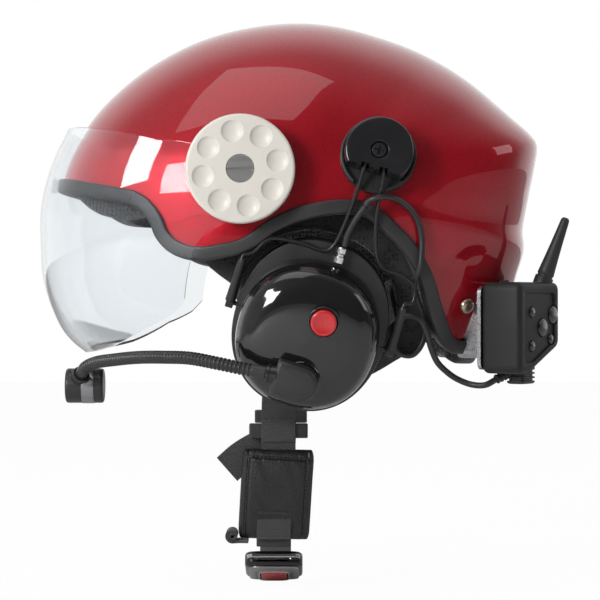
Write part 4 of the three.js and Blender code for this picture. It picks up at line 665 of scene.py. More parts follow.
# The first colour is the painted shade in the mesh's holes, the second the threads' colour.
spacer_mesh = knitted("spacer_mesh", (0.008, 0.008, 0.009), (0.035, 0.035, 0.038), 430.0, 0.9)
brushed_cloth = knitted("brushed_cloth", (0.012, 0.012, 0.014), (0.03, 0.03, 0.034), 1500.0, 0.3)

head_radius_inset, head_half_width, head_power = 29.0, 90.5, 2.2
head_rim = rim[::2] - rim_out[::2] * 10.0


def head_reach(way, inset):
    """Point of the head dome along a direction from the shell's middle, an ellipse across."""
    outline = shell_form(shell_pole[1] + way[..., 1], shell_pole[2] + way[..., 2])[0]
    level = (np.hypot(way[..., 1], way[..., 2]) / (outline - head_radius_inset - inset)) ** head_power
    level = level + (np.abs(way[..., 0]) / (head_half_width - inset)) ** head_power
    return shell_pole + way * (level ** (-1 / head_power))[..., None]


def lining(inset, rows, puff):
    """Head dome from the rim to the crown, with sewn channels: it puffs by the root of |sin| of four times
    the angle round the head."""
    shares = np.linspace(0, 1, rows)
    way = turned_up(unit(head_rim - shell_pole), shares)
    round_head = np.arctan2(way[..., 0], -way[..., 1])
    fade = np.sin(np.pi * np.clip(shares[:, None] * 1.3, 0, 1))
    return head_reach(way, inset + puff * (np.abs(np.sin(round_head * 4)) ** 0.5) * fade)


lining_skin = np.concatenate([lining(0.6, 40, 0.0)[:-1][::-1], lining(7.4, 60, 2.0)[:-1]])
comfort = make_piece("head_lining", closed(lining_skin), brushed_cloth, "helmet", "comfort_liner", sharp=80)

half_rim = slice(0, None, 2)
drop_share = ((rim[:, 1] - shell_pole[1]) / crown_radius + 1.42) / 0.56
brow_drop = 11.0 * np.sin(np.pi * np.clip(drop_share, 0, 1))[half_rim, None]
pad_loop = rounded([
    (-4.0, -7.0), (2.4, -7.0), (2.4, -23.6), (1.4, -24.0), (-3.0, -20.0),
], (1.5, 3.5, 4.0, 1.0, 3.0), 6)
pad_section = np.broadcast_to(pad_loop, (len(rim[half_rim]), *pad_loop.shape)).copy()
pad_section[..., 0] += (pad_section[..., 0] > 0) * brow_drop
rim_pad = make_piece(
    "rim_padding_mesh", closed(along_rim(pad_section, half_rim), True), spacer_mesh, "helmet", "rim_padding",
    sharp=60,
)

neck_from = len(brow_rim) + len(side_rim)
neck_keep = slice(neck_from, len(rim) - neck_from + 1)
neck_loop = rounded([(4.9, -4.3), (15.7, -4.3), (15.7, -14.7), (4.9, -14.7)], 3.6, 5)
neck_swell = 1 - 0.5 * np.abs(np.linspace(-1, 1, len(rim[neck_keep]))) ** 14
neck_middle = neck_loop.mean(0)
neck_section = neck_middle + (neck_loop - neck_middle) * neck_swell[:, None, None]
neck_roll = make_piece(
    "neck_roll_mesh", closed(along_rim(neck_section, neck_keep)), spacer_mesh, "helmet", "neck_roll",
    sharp=60,
)


# Ear surrounds: spacer mesh over thin foam, one C-shaped cushion on each side that closes the space
# between the rim padding and the ear cup. It is sewn to the padding along the ear arch.
def mirrored(skin, hand):
    """Skin as it is for hand 1, and its mirror image across the middle for hand -1."""
    points, faces = skin
    return points * (hand, 1, 1), faces


def side_pair(name, skin, finish, body, *nodes, **more):
    """Piece for the wearer's left and its mirror image for the right; {} in a name stands for the side."""
    return [
        make_piece(
            f"{name}_{side}", mirrored(skin, hand), finish, body.format(side),
            *(node.format(side) for node in nodes), **more,
        ) for side, hand in (("left", 1), ("right", -1))
    ]


def in_frame(columns, points):
    """Points moved from a frame given by its three axes and its origin, as sixteen numbers in columns."""
    axes = np.array(columns).reshape(4, 4)
    return np.asarray(points, float) @ axes[:3, :3] + axes[3, :3]


def signed_power(v, power):
    """sign(v) * |v|^power."""
    return np.sign(v) * np.abs(v) ** power


def oval(half_width, half_height, power, count=160):
    """Superellipse of [y, z]: half size * sign(cos) |cos|^(2 / power), and the same with sin."""
    round_about = circle(1, count)
    return np.array([half_width, half_height]) * signed_power(round_about, 2 / power)


lean_cos, lean_sin, cup_power = 0.9563, 0.29237, 2.2
ear_middle = np.array([5.4, -138.6])
arm_frame = [1, 0, 0, 0, 0, lean_cos, -lean_sin, 0, 0, lean_sin, lean_cos, 0, 102, *ear_middle, 1]
cup_frame = [
    0.98481, -0.05077, -0.16606, 0, 0, lean_cos, -lean_sin, 0,
    0.17365, 0.28793, 0.94178, 0, 102, *ear_middle, 1,
]
flap_shares = np.array([(0.622, -0.72), (0.594, -0.826), (0.559, -0.883), (0.479, -0.899), (0.403, -0.872)])
cheek_shares = np.array([(-0.445, -0.481), (-0.579, -0.373)])
flap, cheek = shell_pole[1:] + crown_radius * flap_shares, shell_pole[1:] + crown_radius * cheek_shares
arch_from = int(np.argmin(np.hypot(*(side_rim[:, 1:] - cheek[-1]).T))) + 3
arch_to = int(np.argmin(np.hypot(*(side_rim[:, 1:] - flap[0]).T))) - 2
surround_edge = np.vstack([
    side_rim[arch_from:arch_to, 1:] + (0, -2.6), flap, cheek, side_rim[arch_from:arch_from + 1, 1:],
])


def reach_to(outline, ways):
    """Distance from the ear's middle to a closed side-view outline along each direction."""
    start, edge = outline[:-1] - ear_middle, outline[1:] - outline[:-1]
    cross = ways[:, None, 0] * edge[None, :, 1] - ways[:, None, 1] * edge[None, :, 0]
    cross = np.where(np.abs(cross) < 1e-9, 1e-9, cross)
    far = (start[:, 0] * edge[:, 1] - start[:, 1] * edge[:, 0]) / cross
    share = (start[None, :, 0] * ways[:, None, 1] - start[None, :, 1] * ways[:, None, 0]) / cross
    good = (far > 0) & (share >= -1e-6) & (share <= 1 + 1e-6)
    return np.where(good, far, 0).max(1)


cup_hole = oval(46.8, 52.5, cup_power, 200)
cup_hole = np.vstack([cup_hole, cup_hole[:1]])
cup_hole = np.stack([
    cup_hole[:, 0] * lean_cos + cup_hole[:, 1] * lean_sin,
    cup_hole[:, 1] * lean_cos - cup_hole[:, 0] * lean_sin,
], -1) + ear_middle
sweep_angle = np.radians(np.linspace(-17, 158, 150))
sweep_way = np.stack([np.cos(sweep_angle), np.sin(sweep_angle)], -1)
hole_reach, edge_reach = reach_to(cup_hole, sweep_way), reach_to(surround_edge, sweep_way)
edge_reach = np.maximum(edge_reach, hole_reach + 0.6)
round_angle = np.linspace(0, 2 * np.pi, 28, endpoint=False)
across_share = 0.5 + 0.5 * signed_power(np.cos(round_angle), 0.5)
lift_share = signed_power(np.sin(round_angle), 0.7)
surround_reach = hole_reach[:, None] + across_share * (edge_reach - hole_reach)[:, None]
quilt = 1 + 0.12 * np.cos(sweep_angle * 18)[:, None]
surround_grid = np.concatenate([
    (87.6 + 2.5 * lift_share * quilt)[..., None],
    ear_middle + surround_reach[..., None] * sweep_way[:, None],
], -1)
for surround in side_pair(
    "ear_surround_mesh", closed(surround_grid), spacer_mesh, "helmet", "ear_surround_{}", sharp=80,
):
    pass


# Visor: one clear polycarbonate bubble, thermoformed and hard-coated, 2.2 mm thick. A round tab with a
# hole at each end turns on the boss of a base that is fixed to the shell.
pivot = np.array([-32.0, -54.0])
visor_radius, visor_half_width, visor_power, visor_wall, tab_radius = 126.0, 116.5, 2.8, 2.2, 26.0
visor_shares = [
    (-90, 1), (0, 0.86), (90, 0.82), (140, 0.825), (165, 0.85), (173, 0.883), (182, 0.925), (190, 0.962),
    (199, 1), (206, 1.043), (214, 1.078), (221, 1.1), (228, 1.09), (240, 1.05),
]
top_line = np.array([(26.0, 150), (47.9, 160.3), (107, 165), (162, 166.3)])
bottom_line = np.array([
    (26.0, 262), (30.4, 250), (37.5, 241), (47.9, 239), (56.6, 241), (68, 244), (77.3, 246.4), (86.5, 244.4),
    (99.9, 238.6), (114, 234.9), (121, 233), (136.9, 227.4), (189, 214),
])


def visor_outline(angle):
    """The dome's reach from the pivot in the middle plane, at an angle about the pivot."""
    return visor_radius * ring_value(visor_shares, angle)


def visor_at(angle, tilt):
    """Dome point: outline * cos(tilt)^(2 / power) out from the pivot, half width * sin(tilt)^(2 / power)
    across."""
    reach = visor_outline(angle) * np.cos(tilt) ** (2 / visor_power)
    side = visor_half_width * signed_power(np.sin(tilt), 2 / visor_power)
    turn = np.radians(angle)
    return np.stack([side, pivot[0] + reach * np.cos(turn), pivot[1] + reach * np.sin(turn)], -1), reach


def tab_tilt(angle, reach):
    """Tilt at which the dome is that far from the pivot."""
    return np.arccos(np.clip(reach / visor_outline(angle), 0, 1) ** (visor_power / 2))


down_share = np.linspace(0, 1, 90)[None, :]
over_share = np.linspace(1, -1, 181)[:, None]
visor_angle = np.repeat(150 + 112 * down_share, len(over_share), 0)
for _ in range(8):
    visor_points, visor_reach = visor_at(visor_angle, over_share * tab_tilt(visor_angle, tab_radius))
    highest, lowest = np.interp(visor_reach, *top_line.T), np.interp(visor_reach, *bottom_line.T)
    visor_angle = highest + down_share * (lowest - highest)
tab_angle = np.concatenate([visor_angle[0], np.linspace(262, 510, 130)[1:-1]])[None, :]
tab_reach = np.linspace(tab_radius, 5.0, 14)[:, None]
tab_points = visor_at(tab_angle, tab_tilt(tab_angle, tab_reach))[0]


def visor_level(p):
    """(side reach / outline)^power + (width / half width)^power, which is 1 on the dome."""
    away, up = p[..., 1] - pivot[0], p[..., 2] - pivot[1]
    side = (np.hypot(away, up) / visor_outline(np.degrees(np.arctan2(up, away)))) ** visor_power
    return side + (np.abs(p[..., 0]) / visor_half_width) ** visor_power


def thick(sheets, wall, level):
    """Closed skin of a sheet joined from grids: its points, the same moved down the level by the wall, and
    walls along every edge that only one face has."""
    points, faces, first = [], [], 0
    for grid, loops in sheets:
        points.append(grid.reshape(-1, 3))
        faces.append(first + grid_faces(*grid.shape[:2], False, loops))
        first += grid[..., 0].size
    points, faces = np.vstack(points), np.vstack(faces)
    _, keep, merged = np.unique(np.round(points, 3), axis=0, return_index=True, return_inverse=True)
    points, faces = points[keep], merged.reshape(-1)[faces]
    edges = np.stack([faces, np.roll(faces, -1, 1)], -1).reshape(-1, 2)
    _, place, count = np.unique(np.sort(edges, 1), axis=0, return_index=True, return_counts=True)
    rim_edges = edges[place[count == 1]]
    total = len(points)
    walls = np.stack([rim_edges[:, 1], rim_edges[:, 0], rim_edges[:, 0] + total, rim_edges[:, 1] + total], 1)
    inner = points - wall * slope(level, points, 0.05)
    return np.vstack([points, inner]), np.vstack([faces, faces[:, ::-1] + total, walls]).tolist()


def clear_plastic():
    """Hard-coated clear plastic: glass without a dark shadow. A broad noise changes its gloss and tint."""
    made, shader, add = start_look("clear_plastic")
    place = add("TexCoord").outputs["Object"]
    haze = add("TexNoise", {"Vector": place, "Scale": 24.0, "Detail": 4.0}).outputs["Fac"]
    rough = add("MapRange", {"Value": haze, "To Min": 0.012, "To Max": 0.035})
    tint = add("Mix", {
        "Factor": haze, "A": (0.9, 0.93, 0.95, 1), "B": (0.94, 0.96, 0.97, 1),
    }, data_type="RGBA")
    fill(shader, {
        "Base Color": tint.outputs["Result"], "Roughness": rough.outputs["Result"],
        "Transmission Weight": 1.0, "IOR": 1.42,
    })
    shadow = add("LightPath").outputs["Is Shadow Ray"]
    through = add("BsdfTransparent", {"Color": (0.9, 0.92, 0.94, 1)})
    either = add("MixShader", {0: shadow, 1: shader.outputs[0], 2: through.outputs[0]})
    fill(made.node_tree.nodes["Material Output"], {"Surface": either.outputs[0]})
    return made


visor_sheets = [(visor_points, False), (tab_points, True), (tab_points * (-1, 1, 1), True)]
visor_skin = thick(visor_sheets, visor_wall, visor_level)
make_piece("visor_bubble", visor_skin, clear_plastic(), "visor_body", "visor", sharp=50)


# Visor bases, covers and screws: on each side a dark nylon base on the shell carries the tab on its
# boss, a light grey disc with eight moulded finger dimples covers it, and a slotted screw holds both.
black_nylon = moulded("black_nylon", (0.013, 0.013, 0.014), (0.03, 0.03, 0.032), (0.3, 0.5), (1200.0, 0.18))
cover_back, cover_face = 116.8, 126.0


def turned_about_x(profile, count=96, middle=(0.0, 0.0)):
    """Rings through [radius, x] places about an axis along X."""
    profile = np.asarray(profile, float)
    angle = np.arange(count) * 2 * np.pi / count
    radius, far = profile[:, :1], np.broadcast_to(profile[:, 1:], (len(profile), count))
    return np.stack([far, middle[0] + radius * np.cos(angle), middle[1] + radius * np.sin(angle)], -1)


def cut_by(piece, *skins):
    """Cuts closed skins out of a piece, and leaves it as a plain mesh with its own bevel."""
    kept = [(m.width, m.segments) for m in piece.modifiers if m.type == "BEVEL"]
    piece.modifiers.clear()
    tools = []
    for points, faces in map(outward, skins):
        mesh = bpy.data.meshes.new("cutter")
        mesh.from_pydata((points / 1000).tolist(), [], faces)
        tool = bpy.data.objects.new("cutter", mesh)
        bpy.context.scene.collection.objects.link(tool)
        tool.parent = piece.parent
        made = piece.modifiers.new("cut", "BOOLEAN")
        made.operation, made.object, made.solver = "DIFFERENCE", tool, "EXACT"
        tools.append(tool)
    bpy.context.view_layer.update()
    result = bpy.data.meshes.new_from_object(piece.evaluated_get(bpy.context.evaluated_depsgraph_get()))
    piece.modifiers.clear()
    piece.data = result
    for tool in tools:
        bpy.data.objects.remove(tool)
    for width, segments in kept:
        soften(piece, width, segments)


def cut_pair(pair, *skins):
    """Cuts skins, given for the left one, out of both pieces of a pair."""
    for piece, hand in zip(pair, (1, -1)):
        cut_by(piece, *(mirrored(skin, hand) for skin in skins))


def box_skin(x0, x1, y0, y1, z0, z1):
    """Closed box."""
    ring = np.array([(y0, z0), (y1, z0), (y1, z1), (y0, z1)], float)
    grid = np.stack([np.column_stack([np.full(4, x), ring]) for x in (x0, x1)])
    return grid.reshape(-1, 3), [[0, 1, 2, 3], [7, 6, 5, 4], *grid_faces(2, 4)[:, ::-1].tolist()]


base_profile = rounded([(5.0, 107.0), (27.4, 104.5), (27.4, 112.6), (5.0, 112.6)], (0.3, 0.3, 1.0, 0.3))
base_ring = closed(turned_about_x(base_profile, 96, pivot), True)
boss_profile = rounded([(3.3, 105), (4.7, 105), (4.7, 116.5), (3.3, 116.5)], 0.3)
boss_tube = closed(turned_about_x(boss_profile, 64, pivot), True)


def together(*skins):
    """One skin from several closed ones, each turned outwards."""
    points, faces, first = [], [], 0
    for some, theirs in map(outward, skins):
        points.append(some)
        faces += [[k + first for k in face] for face in theirs]
        first += len(some)
    return np.vstack(points), faces


side_pair("visor_base_nylon", together(base_ring, boss_tube), black_nylon, "helmet", "visor_base_{}")

cover_angle = np.arange(320) * 2 * np.pi / 320
face_radius = np.linspace(27.8, 7.75, 100)
dimple_turn, dimple_middle, dimple_radius = np.radians(12 + 45 * np.arange(8)), 20.4, 5.9
face_y, face_z = face_radius[:, None] * np.cos(cover_angle), face_radius[:, None] * np.sin(cover_angle)
nearest = np.min([
    np.hypot(face_y - dimple_middle * np.cos(a), face_z - dimple_middle * np.sin(a)) for a in dimple_turn
], axis=0)
dimple_depth = 2.2 * np.clip(1 - (nearest / dimple_radius) ** 2, 0, 1) ** 0.62
edge_turn = np.linspace(0, np.pi / 2, 7)
cover_edge = np.column_stack([27.8 + 1.6 * np.cos(edge_turn), cover_face - 1.6 + 1.6 * np.sin(edge_turn)])
cover_foot = [(3.3, cover_back), (28.6, cover_back), (29.2, cover_back + 0.2), (29.4, cover_back + 0.8)]
cover_rows = np.concatenate([
    turned_about_x(cover_foot, 320),
    turned_about_x(cover_edge[:-1], 320),
    np.stack([cover_face - dimple_depth, face_y, face_z], -1),
    turned_about_x([(7.6, cover_face - 0.2), (7.55, cover_face - 2.8), (3.3, cover_face - 2.8)], 320),
])
cover_rows[..., 1:] += pivot
grey_satin = moulded("grey_satin", (0.7, 0.665, 0.6), (0.78, 0.75, 0.69), (0.34, 0.46), (1500.0, 0.1))
side_pair("visor_cover_disc", closed(cover_rows, True), grey_satin, "helmet", "visor_cover_{}", sharp=40)


def plated_metal(name, colour, gloss, brushed=700.0):
    """Plated or machined metal: a noise stretched along one way gives its fine lines."""
    made, shader, add = start_look(name)
    place = add("TexCoord").outputs["Object"]
    stretch = add("Mapping", {"Vector": place, "Scale": (1.0, 0.06, 1.0)}).outputs["Vector"]
    lines = add("TexNoise", {"Vector": stretch, "Scale": brushed}).outputs["Fac"]
    rough = add("MapRange", {"Value": lines, "To Min": gloss[0], "To Max": gloss[1]})
    dark = (*(0.8 * c for c in colour), 1)
    tone = add("Mix", {"Factor": lines, "A": dark, "B": (*colour, 1)}, data_type="RGBA")
    fill(shader, {
        "Base Color": tone.outputs["Result"], "Roughness": rough.outputs["Result"], "Metallic": 1.0,
    })
    return made


screw_steel = plated_metal("screw_steel", (0.56, 0.56, 0.55), (0.28, 0.42))
screw_profile = [(0.02, 97), (3, 97), (3, 123.5), (7.2, 123.5), (7.3, 125.7), (7.0, 126), (0.02, 126)]
slot_points, slot_faces = box_skin(124.9, 130, -10, 10, -0.65, 0.65)
cut_pair(side_pair(
    "visor_screw_steel", closed(turned_about_x(screw_profile, 64, pivot)), screw_steel, "helmet",
    "visor_screw_{}", bevel=0.15,
), (slot_points + (0, *pivot), slot_faces))


# Cup mounts: on each side a round nylon base on the shell, and in it a glossy cap cut off by a chord,
# with two slots for the wires of the ear cup's arm. A cross-recessed screw goes through both.
mount_frame = [
    0.98557, 0.01475, 0.1686, 0, 0.03328, 0.95986, -0.27848, 0,
    -0.16594, 0.28008, 0.94553, 0, 110.86674, 42.2, -47, 1,
]
gloss_nylon = moulded("gloss_nylon", (0.012, 0.012, 0.013), (0.02, 0.02, 0.022), (0.14, 0.24), (900.0, 0.08))


def framed(columns, skin):
    """Skin moved from a frame given in columns."""
    return in_frame(columns, skin[0]), skin[1]


def mount_round(corners, radius, steps):
    """Closed round body in the mount's frame, turned from [radius, height] corners that are rounded."""
    return framed(mount_frame, closed(turned_about_x(rounded(corners, radius, steps), 112)))


mount_base = mount_round([
    (0.02, -3.4), (20.6, -3.4), (20.6, 6.0), (18.9, 6.0), (18.9, 3.0), (0.02, 3.0),
], (0, 0.2, 0.7, 0.3, 0.2, 0), 3)
mount_cap = mount_round([
    (0.02, 3.3), (18.6, 3.3), (18.6, 17.0), (4.8, 17.0), (4.8, 14.6), (0.02, 14.6),
], (0, 0.2, 1.9, 0.5, 0.2, 0), 5)
base_notch = box_skin(3.0, 12, -9, 9, -27, -10.3)
cap_cuts = [
    box_skin(-6, 23, -25, 25, -25, -10.4), box_skin(-3, 13.8, -8.6, 8.6, -8.9, -2.8),
    box_skin(6.6, 23, -7.2, -2.8, -17, -8.5), box_skin(6.6, 23, 2.8, 7.2, -17, -8.5),
]
cut_pair(
    side_pair("mount_base_nylon", mount_base, black_nylon, "helmet", "mount_base_{}", sharp=40),
    framed(mount_frame, base_notch),
)
cut_pair(
    side_pair("mount_cap_gloss", mount_cap, gloss_nylon, "helmet", "mount_cap_{}", sharp=40),
    *(framed(mount_frame, box) for box in cap_cuts),
)
black_steel = plated_metal("black_steel", (0.085, 0.085, 0.09), (0.3, 0.45))
mount_screw = [(0.02, 9), (2, 9), (2, 14.9), (4, 14.9), (4, 16.3), (3.6, 16.7), (0.02, 16.7)]
cross = [box_skin(15.5, 19, -2.6, 2.6, -0.45, 0.45), box_skin(15.5, 19, -0.45, 0.45, -2.6, 2.6)]
cut_pair(side_pair(
    "mount_screw_steel", framed(mount_frame, closed(turned_about_x(mount_screw, 48))), black_steel, "helmet",
    "mount_screw_{}", bevel=0.12,
), *(framed(mount_frame, box) for box in cross))


# Strap rivets: on each side a plated snap rivet near the rear rim holds the strap's anchor tab.
anchor_frame = [
    0.78092, 0.52319, -0.34122, 0, -0.47942, 0.85221, 0.20948, 0,
    0.4004, 0, 0.91634, 0, 91.03533, 91.9, -127.7, 1,
]
rivet_profile = curve_through([(0.02, 2.5), (2.2, 2.32), (3.74, 1.62), (4.35, 0.5), (4.4, 0.2)], 14)
rivet_profile = np.vstack([[(0.02, -4.5), (1.6, -4.5), (1.6, 0.2)], rivet_profile[::-1]])
dull_brass = plated_metal("dull_brass", (0.5, 0.43, 0.34), (0.24, 0.4))
side_pair(
    "strap_rivet_brass", framed(anchor_frame, closed(turned_about_x(rivet_profile, 64))), dull_brass,
    "helmet", "strap_rivet_{}",
)


# Ear cup arms: on each side one length of blackened spring wire, bent round the cap's pin and down both
# sides of the cup. Its ends are pressed into nylon sleeves whose eyes turn on the cup's pins.
wire_radius, wire_plane, bar_height, sleeve_reach = 1.15, 10.5, 41.6, 45.6
front_shares = np.array([(0.06, 1.73), (-0.01, 1.1), (-0.08, 1), (-0.4, 1), (-0.76, 0.93), (-0.9, 0.7)])
rear_shares = np.array([(0.38, 1.56), (0.53, 1.1), (0.63, 1), (0.87, 0.98), (1.05, 0.88), (1.08, 0.68)])
arm_axes = np.array(arm_frame, float).reshape(4, 4)
axle = (in_frame(mount_frame, (10.5, 0, -6.3)) - arm_axes[3, :3]) @ arm_axes[:3, :3].T


def wire_bends(shares):
    """Arm-frame bends at shares of the sleeve's and the cross bar's distance, which lean out to the axle
    above the bar."""
    rise = np.maximum(shares[:, 1] - 1, 0) / (axle[2] / bar_height - 1)
    return np.column_stack([
        wire_plane + rise * (axle[0] - wire_plane), shares[:, 0] * sleeve_reach, shares[:, 1] * bar_height,
    ])


front_entry = [(wire_plane, -sleeve_reach, 21.7), (wire_plane, -sleeve_reach, 26.3)]
rear_entry = [(wire_plane, sleeve_reach, 26.3), (wire_plane, sleeve_reach, 21.7)]
wire_line = curve_through(np.vstack([
    in_frame(arm_frame, np.vstack([front_entry, wire_bends(front_shares)[::-1]])),
    in_frame(mount_frame, [(10.5, -5, -7.4), (10.5, -3.9, -6.3), (10.5, 3.9, -6.3), (10.5, 5, -7.4)]),
    in_frame(arm_frame, np.vstack([wire_bends(rear_shares), rear_entry])),
]), 360)
wire_skin = tube(wire_line, wire_radius, 18, (1, 0.3, 0))


def turned_about_y(profile, count):
    """Rings through [radius, y] places about an axis along Y."""
    return turned_about_x(profile, count)[..., [1, 0, 2]]


sleeve_skins = []
for reach in (-sleeve_reach, sleeve_reach):
    sleeve_line = np.linspace((wire_plane, reach, 24.6), (0.6, reach, 0), 24)
    swell = 2.3 + 0.7 * np.linspace(0, 1, 24) ** 2
    swell[[0, 1, -1]] = 1.7, 2.15, 2.2
    sleeve_skins.append(tube(sleeve_line, swell, 24, (0, 1, 0)))
    eye = rounded([(1.65, -2.1), (3.3, -2.1), (3.3, 2.1), (1.65, 2.1)], 0.5)
    sleeve_skins.append(closed(turned_about_y(eye, 40) + (0, reach, 0), True))
spring_wire = moulded(
    "coated_wire", (0.018, 0.018, 0.02), (0.04, 0.04, 0.042), (0.24, 0.36), (900.0, 0.06), Metallic=0.5,
)
side_pair("wire_arm_spring", wire_skin, spring_wire, "arm_{}", "wire_arm_{}")
side_pair("wire_sleeves", framed(arm_frame, together(*sleeve_skins)), black_nylon, "arm_{}", sharp=50)


# Ear cups: a back plate with two pins, a glossy moulded shell over it, a loudspeaker in the plate's hole,
# and a soft ring cushion that clips behind the plate. The left shell carries the talk button's collar.
plate_outer, plate_inner = oval(41.8, 47.5, cup_power), oval(17, 17, 2)
plate_levels = [(0.9, -3.0), (0.2, -2.8), (0, -2.0), (0, 0.0), (0.2, 0.8), (0.9, 1.0)]
plate_rows = [np.column_stack([np.full(160, x), plate_outer * (1 - inset / 44)]) for inset, x in plate_levels]
plate_rows += [np.column_stack([np.full(160, x), plate_inner]) for x in (1.0, -3.0)]
pin_skins = []
for side in (-1, 1):
    profile = np.array([(0.02, 40), (1.3, 40), (1.3, 47.3), (1.0, 47.7), (0.02, 47.7)]) * (1, side)
    pin_skins.append(closed(turned_about_y(profile, 24)))
plate_skin = together(closed(np.stack(plate_rows), True), *pin_skins)
side_pair("cup_plate_nylon", framed(cup_frame, plate_skin), black_nylon, "cup_{}", "cup_plate_{}", sharp=40)

cup_lip, cup_depth = 1.3, 33
dome_profile = curve_through([
    (cup_lip, 1), (6, 1.0), (12, 0.998), (20.5, 0.955), (27.06, 0.82), (31.4, 0.5), (cup_depth, 0.0001),
], 60)


def bowl_rows(inset):
    """Ovals over the profile of [depth, outline share], smaller all round by the inset."""
    half = np.array([38.6 - inset, 40 - inset])
    deep = cup_lip + (dome_profile[:, 0] - cup_lip) * (cup_depth - inset) / cup_depth
    spread = dome_profile[:, 1, None, None] * oval(1, 1, cup_power) * half + (0, -3.2)
    return np.concatenate([np.broadcast_to(deep[:, None, None], (60, 160, 1)), spread], -1)


button_place, boom_place = (6.1, 11.1), (3.7, -23.8)
bowl_skin = closed(np.concatenate([bowl_rows(0), bowl_rows(2.4)[::-1]]), True)
collar_profile = rounded([(7.3, 27.5), (8.5, 27.5), (8.5, 38.4), (7.3, 38.4)], (0.1, 0.1, 0.55, 0.55), 4)
collar_skin = closed(turned_about_x(collar_profile, 72, button_place), True)
boss_profile = [(0.02, 24), (10.5, 24), (10.5, 32.6), (10.1, 33), (0.02, 33)]
boss_skin = closed(turned_about_x(boss_profile, 72, boom_place))
gloss_black = moulded(
    "gloss_black", (0.008, 0.0075, 0.008), (0.014, 0.013, 0.014), (0.06, 0.12), (500.0, 0.05),
    Coat_Weight=0.5, Coat_Roughness=0.03,
)
make_piece(
    "cup_shell_gloss_left", framed(cup_frame, together(bowl_skin, boss_skin, collar_skin)), gloss_black,
    "cup_left", "cup_shell_left", sharp=40,
)
make_piece(
    "cup_shell_gloss_right", mirrored(framed(cup_frame, bowl_skin), -1), gloss_black, "cup_right",
    "cup_shell_right", sharp=40,
)
for side in ("left", "right"):
    paint(f"cup_speaker_{side}", black_nylon)


def leather_look(name, colour):
    """Soft leather: cells give its grain, and a broader noise its creases and its gloss. Its tone is lighter
    on the creases' crests and darker in their folds, as painted light and shade that follow the bump.
    """
    made, shader, add = start_look(name)
    place = add("TexCoord").outputs["Object"]
    grain = add("TexVoronoi", {"Vector": place, "Scale": 900.0}).outputs["Distance"]
    crease = add("TexNoise", {"Vector": place, "Scale": 120.0, "Detail": 6.0}).outputs["Fac"]
    height = add("Math", {0: grain, 1: crease}, operation="ADD")
    bump = add("Bump", {"Height": height.outputs[0], "Distance": 0.0005, "Strength": 0.5})
    gloss = add("MapRange", {"Value": crease, "To Min": 0.34, "To Max": 0.52})
    # Lighter colour on the crests of the crease noise: painted light, with painted shade in the folds.
    worn_and_lit_tone = (*(2.2 * c for c in colour), 1)
    tone = add("Mix", {"Factor": crease, "A": (*colour, 1), "B": worn_and_lit_tone}, data_type="RGBA")
    fill(shader, {
        "Base Color": tone.outputs["Result"], "Roughness": gloss.outputs["Result"],
        "Normal": bump.outputs["Normal"],
    })
    return made


black_leather = leather_look("black_leather", (0.008, 0.008, 0.0085))
round_section = np.linspace(0, 2 * np.pi, 56, endpoint=False)[:, None]
cushion_share, cushion_lift = (1 + np.cos(round_section)) / 2, (1 - np.sin(round_section)) / 2
turn_about = np.arange(160) * 2 * np.pi / 160
pucker = 0.35 * np.sin(26 * turn_about + 2 * np.sin(3 * turn_about))
pucker = pucker * np.exp(-((cushion_lift - 0.25) / 0.2) ** 2)
cushion_bulge = 1.4 * np.cos(round_section) ** 2 - 1.6 * (1 - cushion_lift) ** 4
cushion_swell = np.where(cushion_share > 0.5, 1, -1) * cushion_bulge - 1.4 + pucker
cushion_opening, cushion_wide, cushion_back, cushion_deep = (21, 26), (20.8, 21.5), -3.3, 15.4
cushion_half = cushion_opening + cushion_share[..., None] * cushion_wide + cushion_swell[..., None]
cushion_grid = np.concatenate([
    np.broadcast_to(cushion_back - cushion_deep * cushion_lift[..., None], (56, 160, 1)),
    cushion_half * oval(1, 1, cup_power),
], -1)
for cushion in side_pair(
    "cup_cushion_leather", framed(cup_frame, closed(cushion_grid, True)), black_leather, "cup_{}",
    "cup_cushion_{}", sharp=80,
):
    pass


# Talk button: a red moulded plastic button, dished on top. A spring inside the left cup pushes it out of
# its collar.
button_red = moulded(
    "button_red", (0.52, 0.012, 0.016), (0.6, 0.02, 0.024), (0.24, 0.34), (900.0, 0.06), Coat_Weight=0.4,
)
button_profile = curve_through([
    (6.9, 35.8), (6.9, 38), (6.9, 41), (6.6, 41.7), (5.8, 42), (4.4, 41.75), (2, 41.45), (0.02, 41.4),
], 40)
button_profile = np.vstack([[(0.02, 35.8)], button_profile])
make_piece(
    "talk_button_red", framed(cup_frame, closed(turned_about_x(button_profile, 72, button_place))),
    button_red, "talk", "talk_button", sharp=50,
)


# Cable fitting: a short turned and chromed hook stud, pressed into the top edge of the left cup where the
# lead leaves it.
chrome = plated_metal("chrome", (0.72, 0.72, 0.74), (0.06, 0.16), 300.0)
stud_profile = [
    (0.02, 38.1), (2.4, 38.1), (3, 38.7), (3, 42), (2.3, 42.6), (2.3, 43.6), (3, 44.2), (3, 46.9),
    (2.4, 47.5), (0.02, 47.5),
]
stud = turned_about_x(stud_profile, 40)[..., [2, 1, 0]] + (4.3, 4.5, 0)  # upright, along the cup's Z
make_piece("cable_stud_chrome", framed(cup_frame, closed(stud)), chrome, "cup_left", "cable_hook", bevel=0.15)


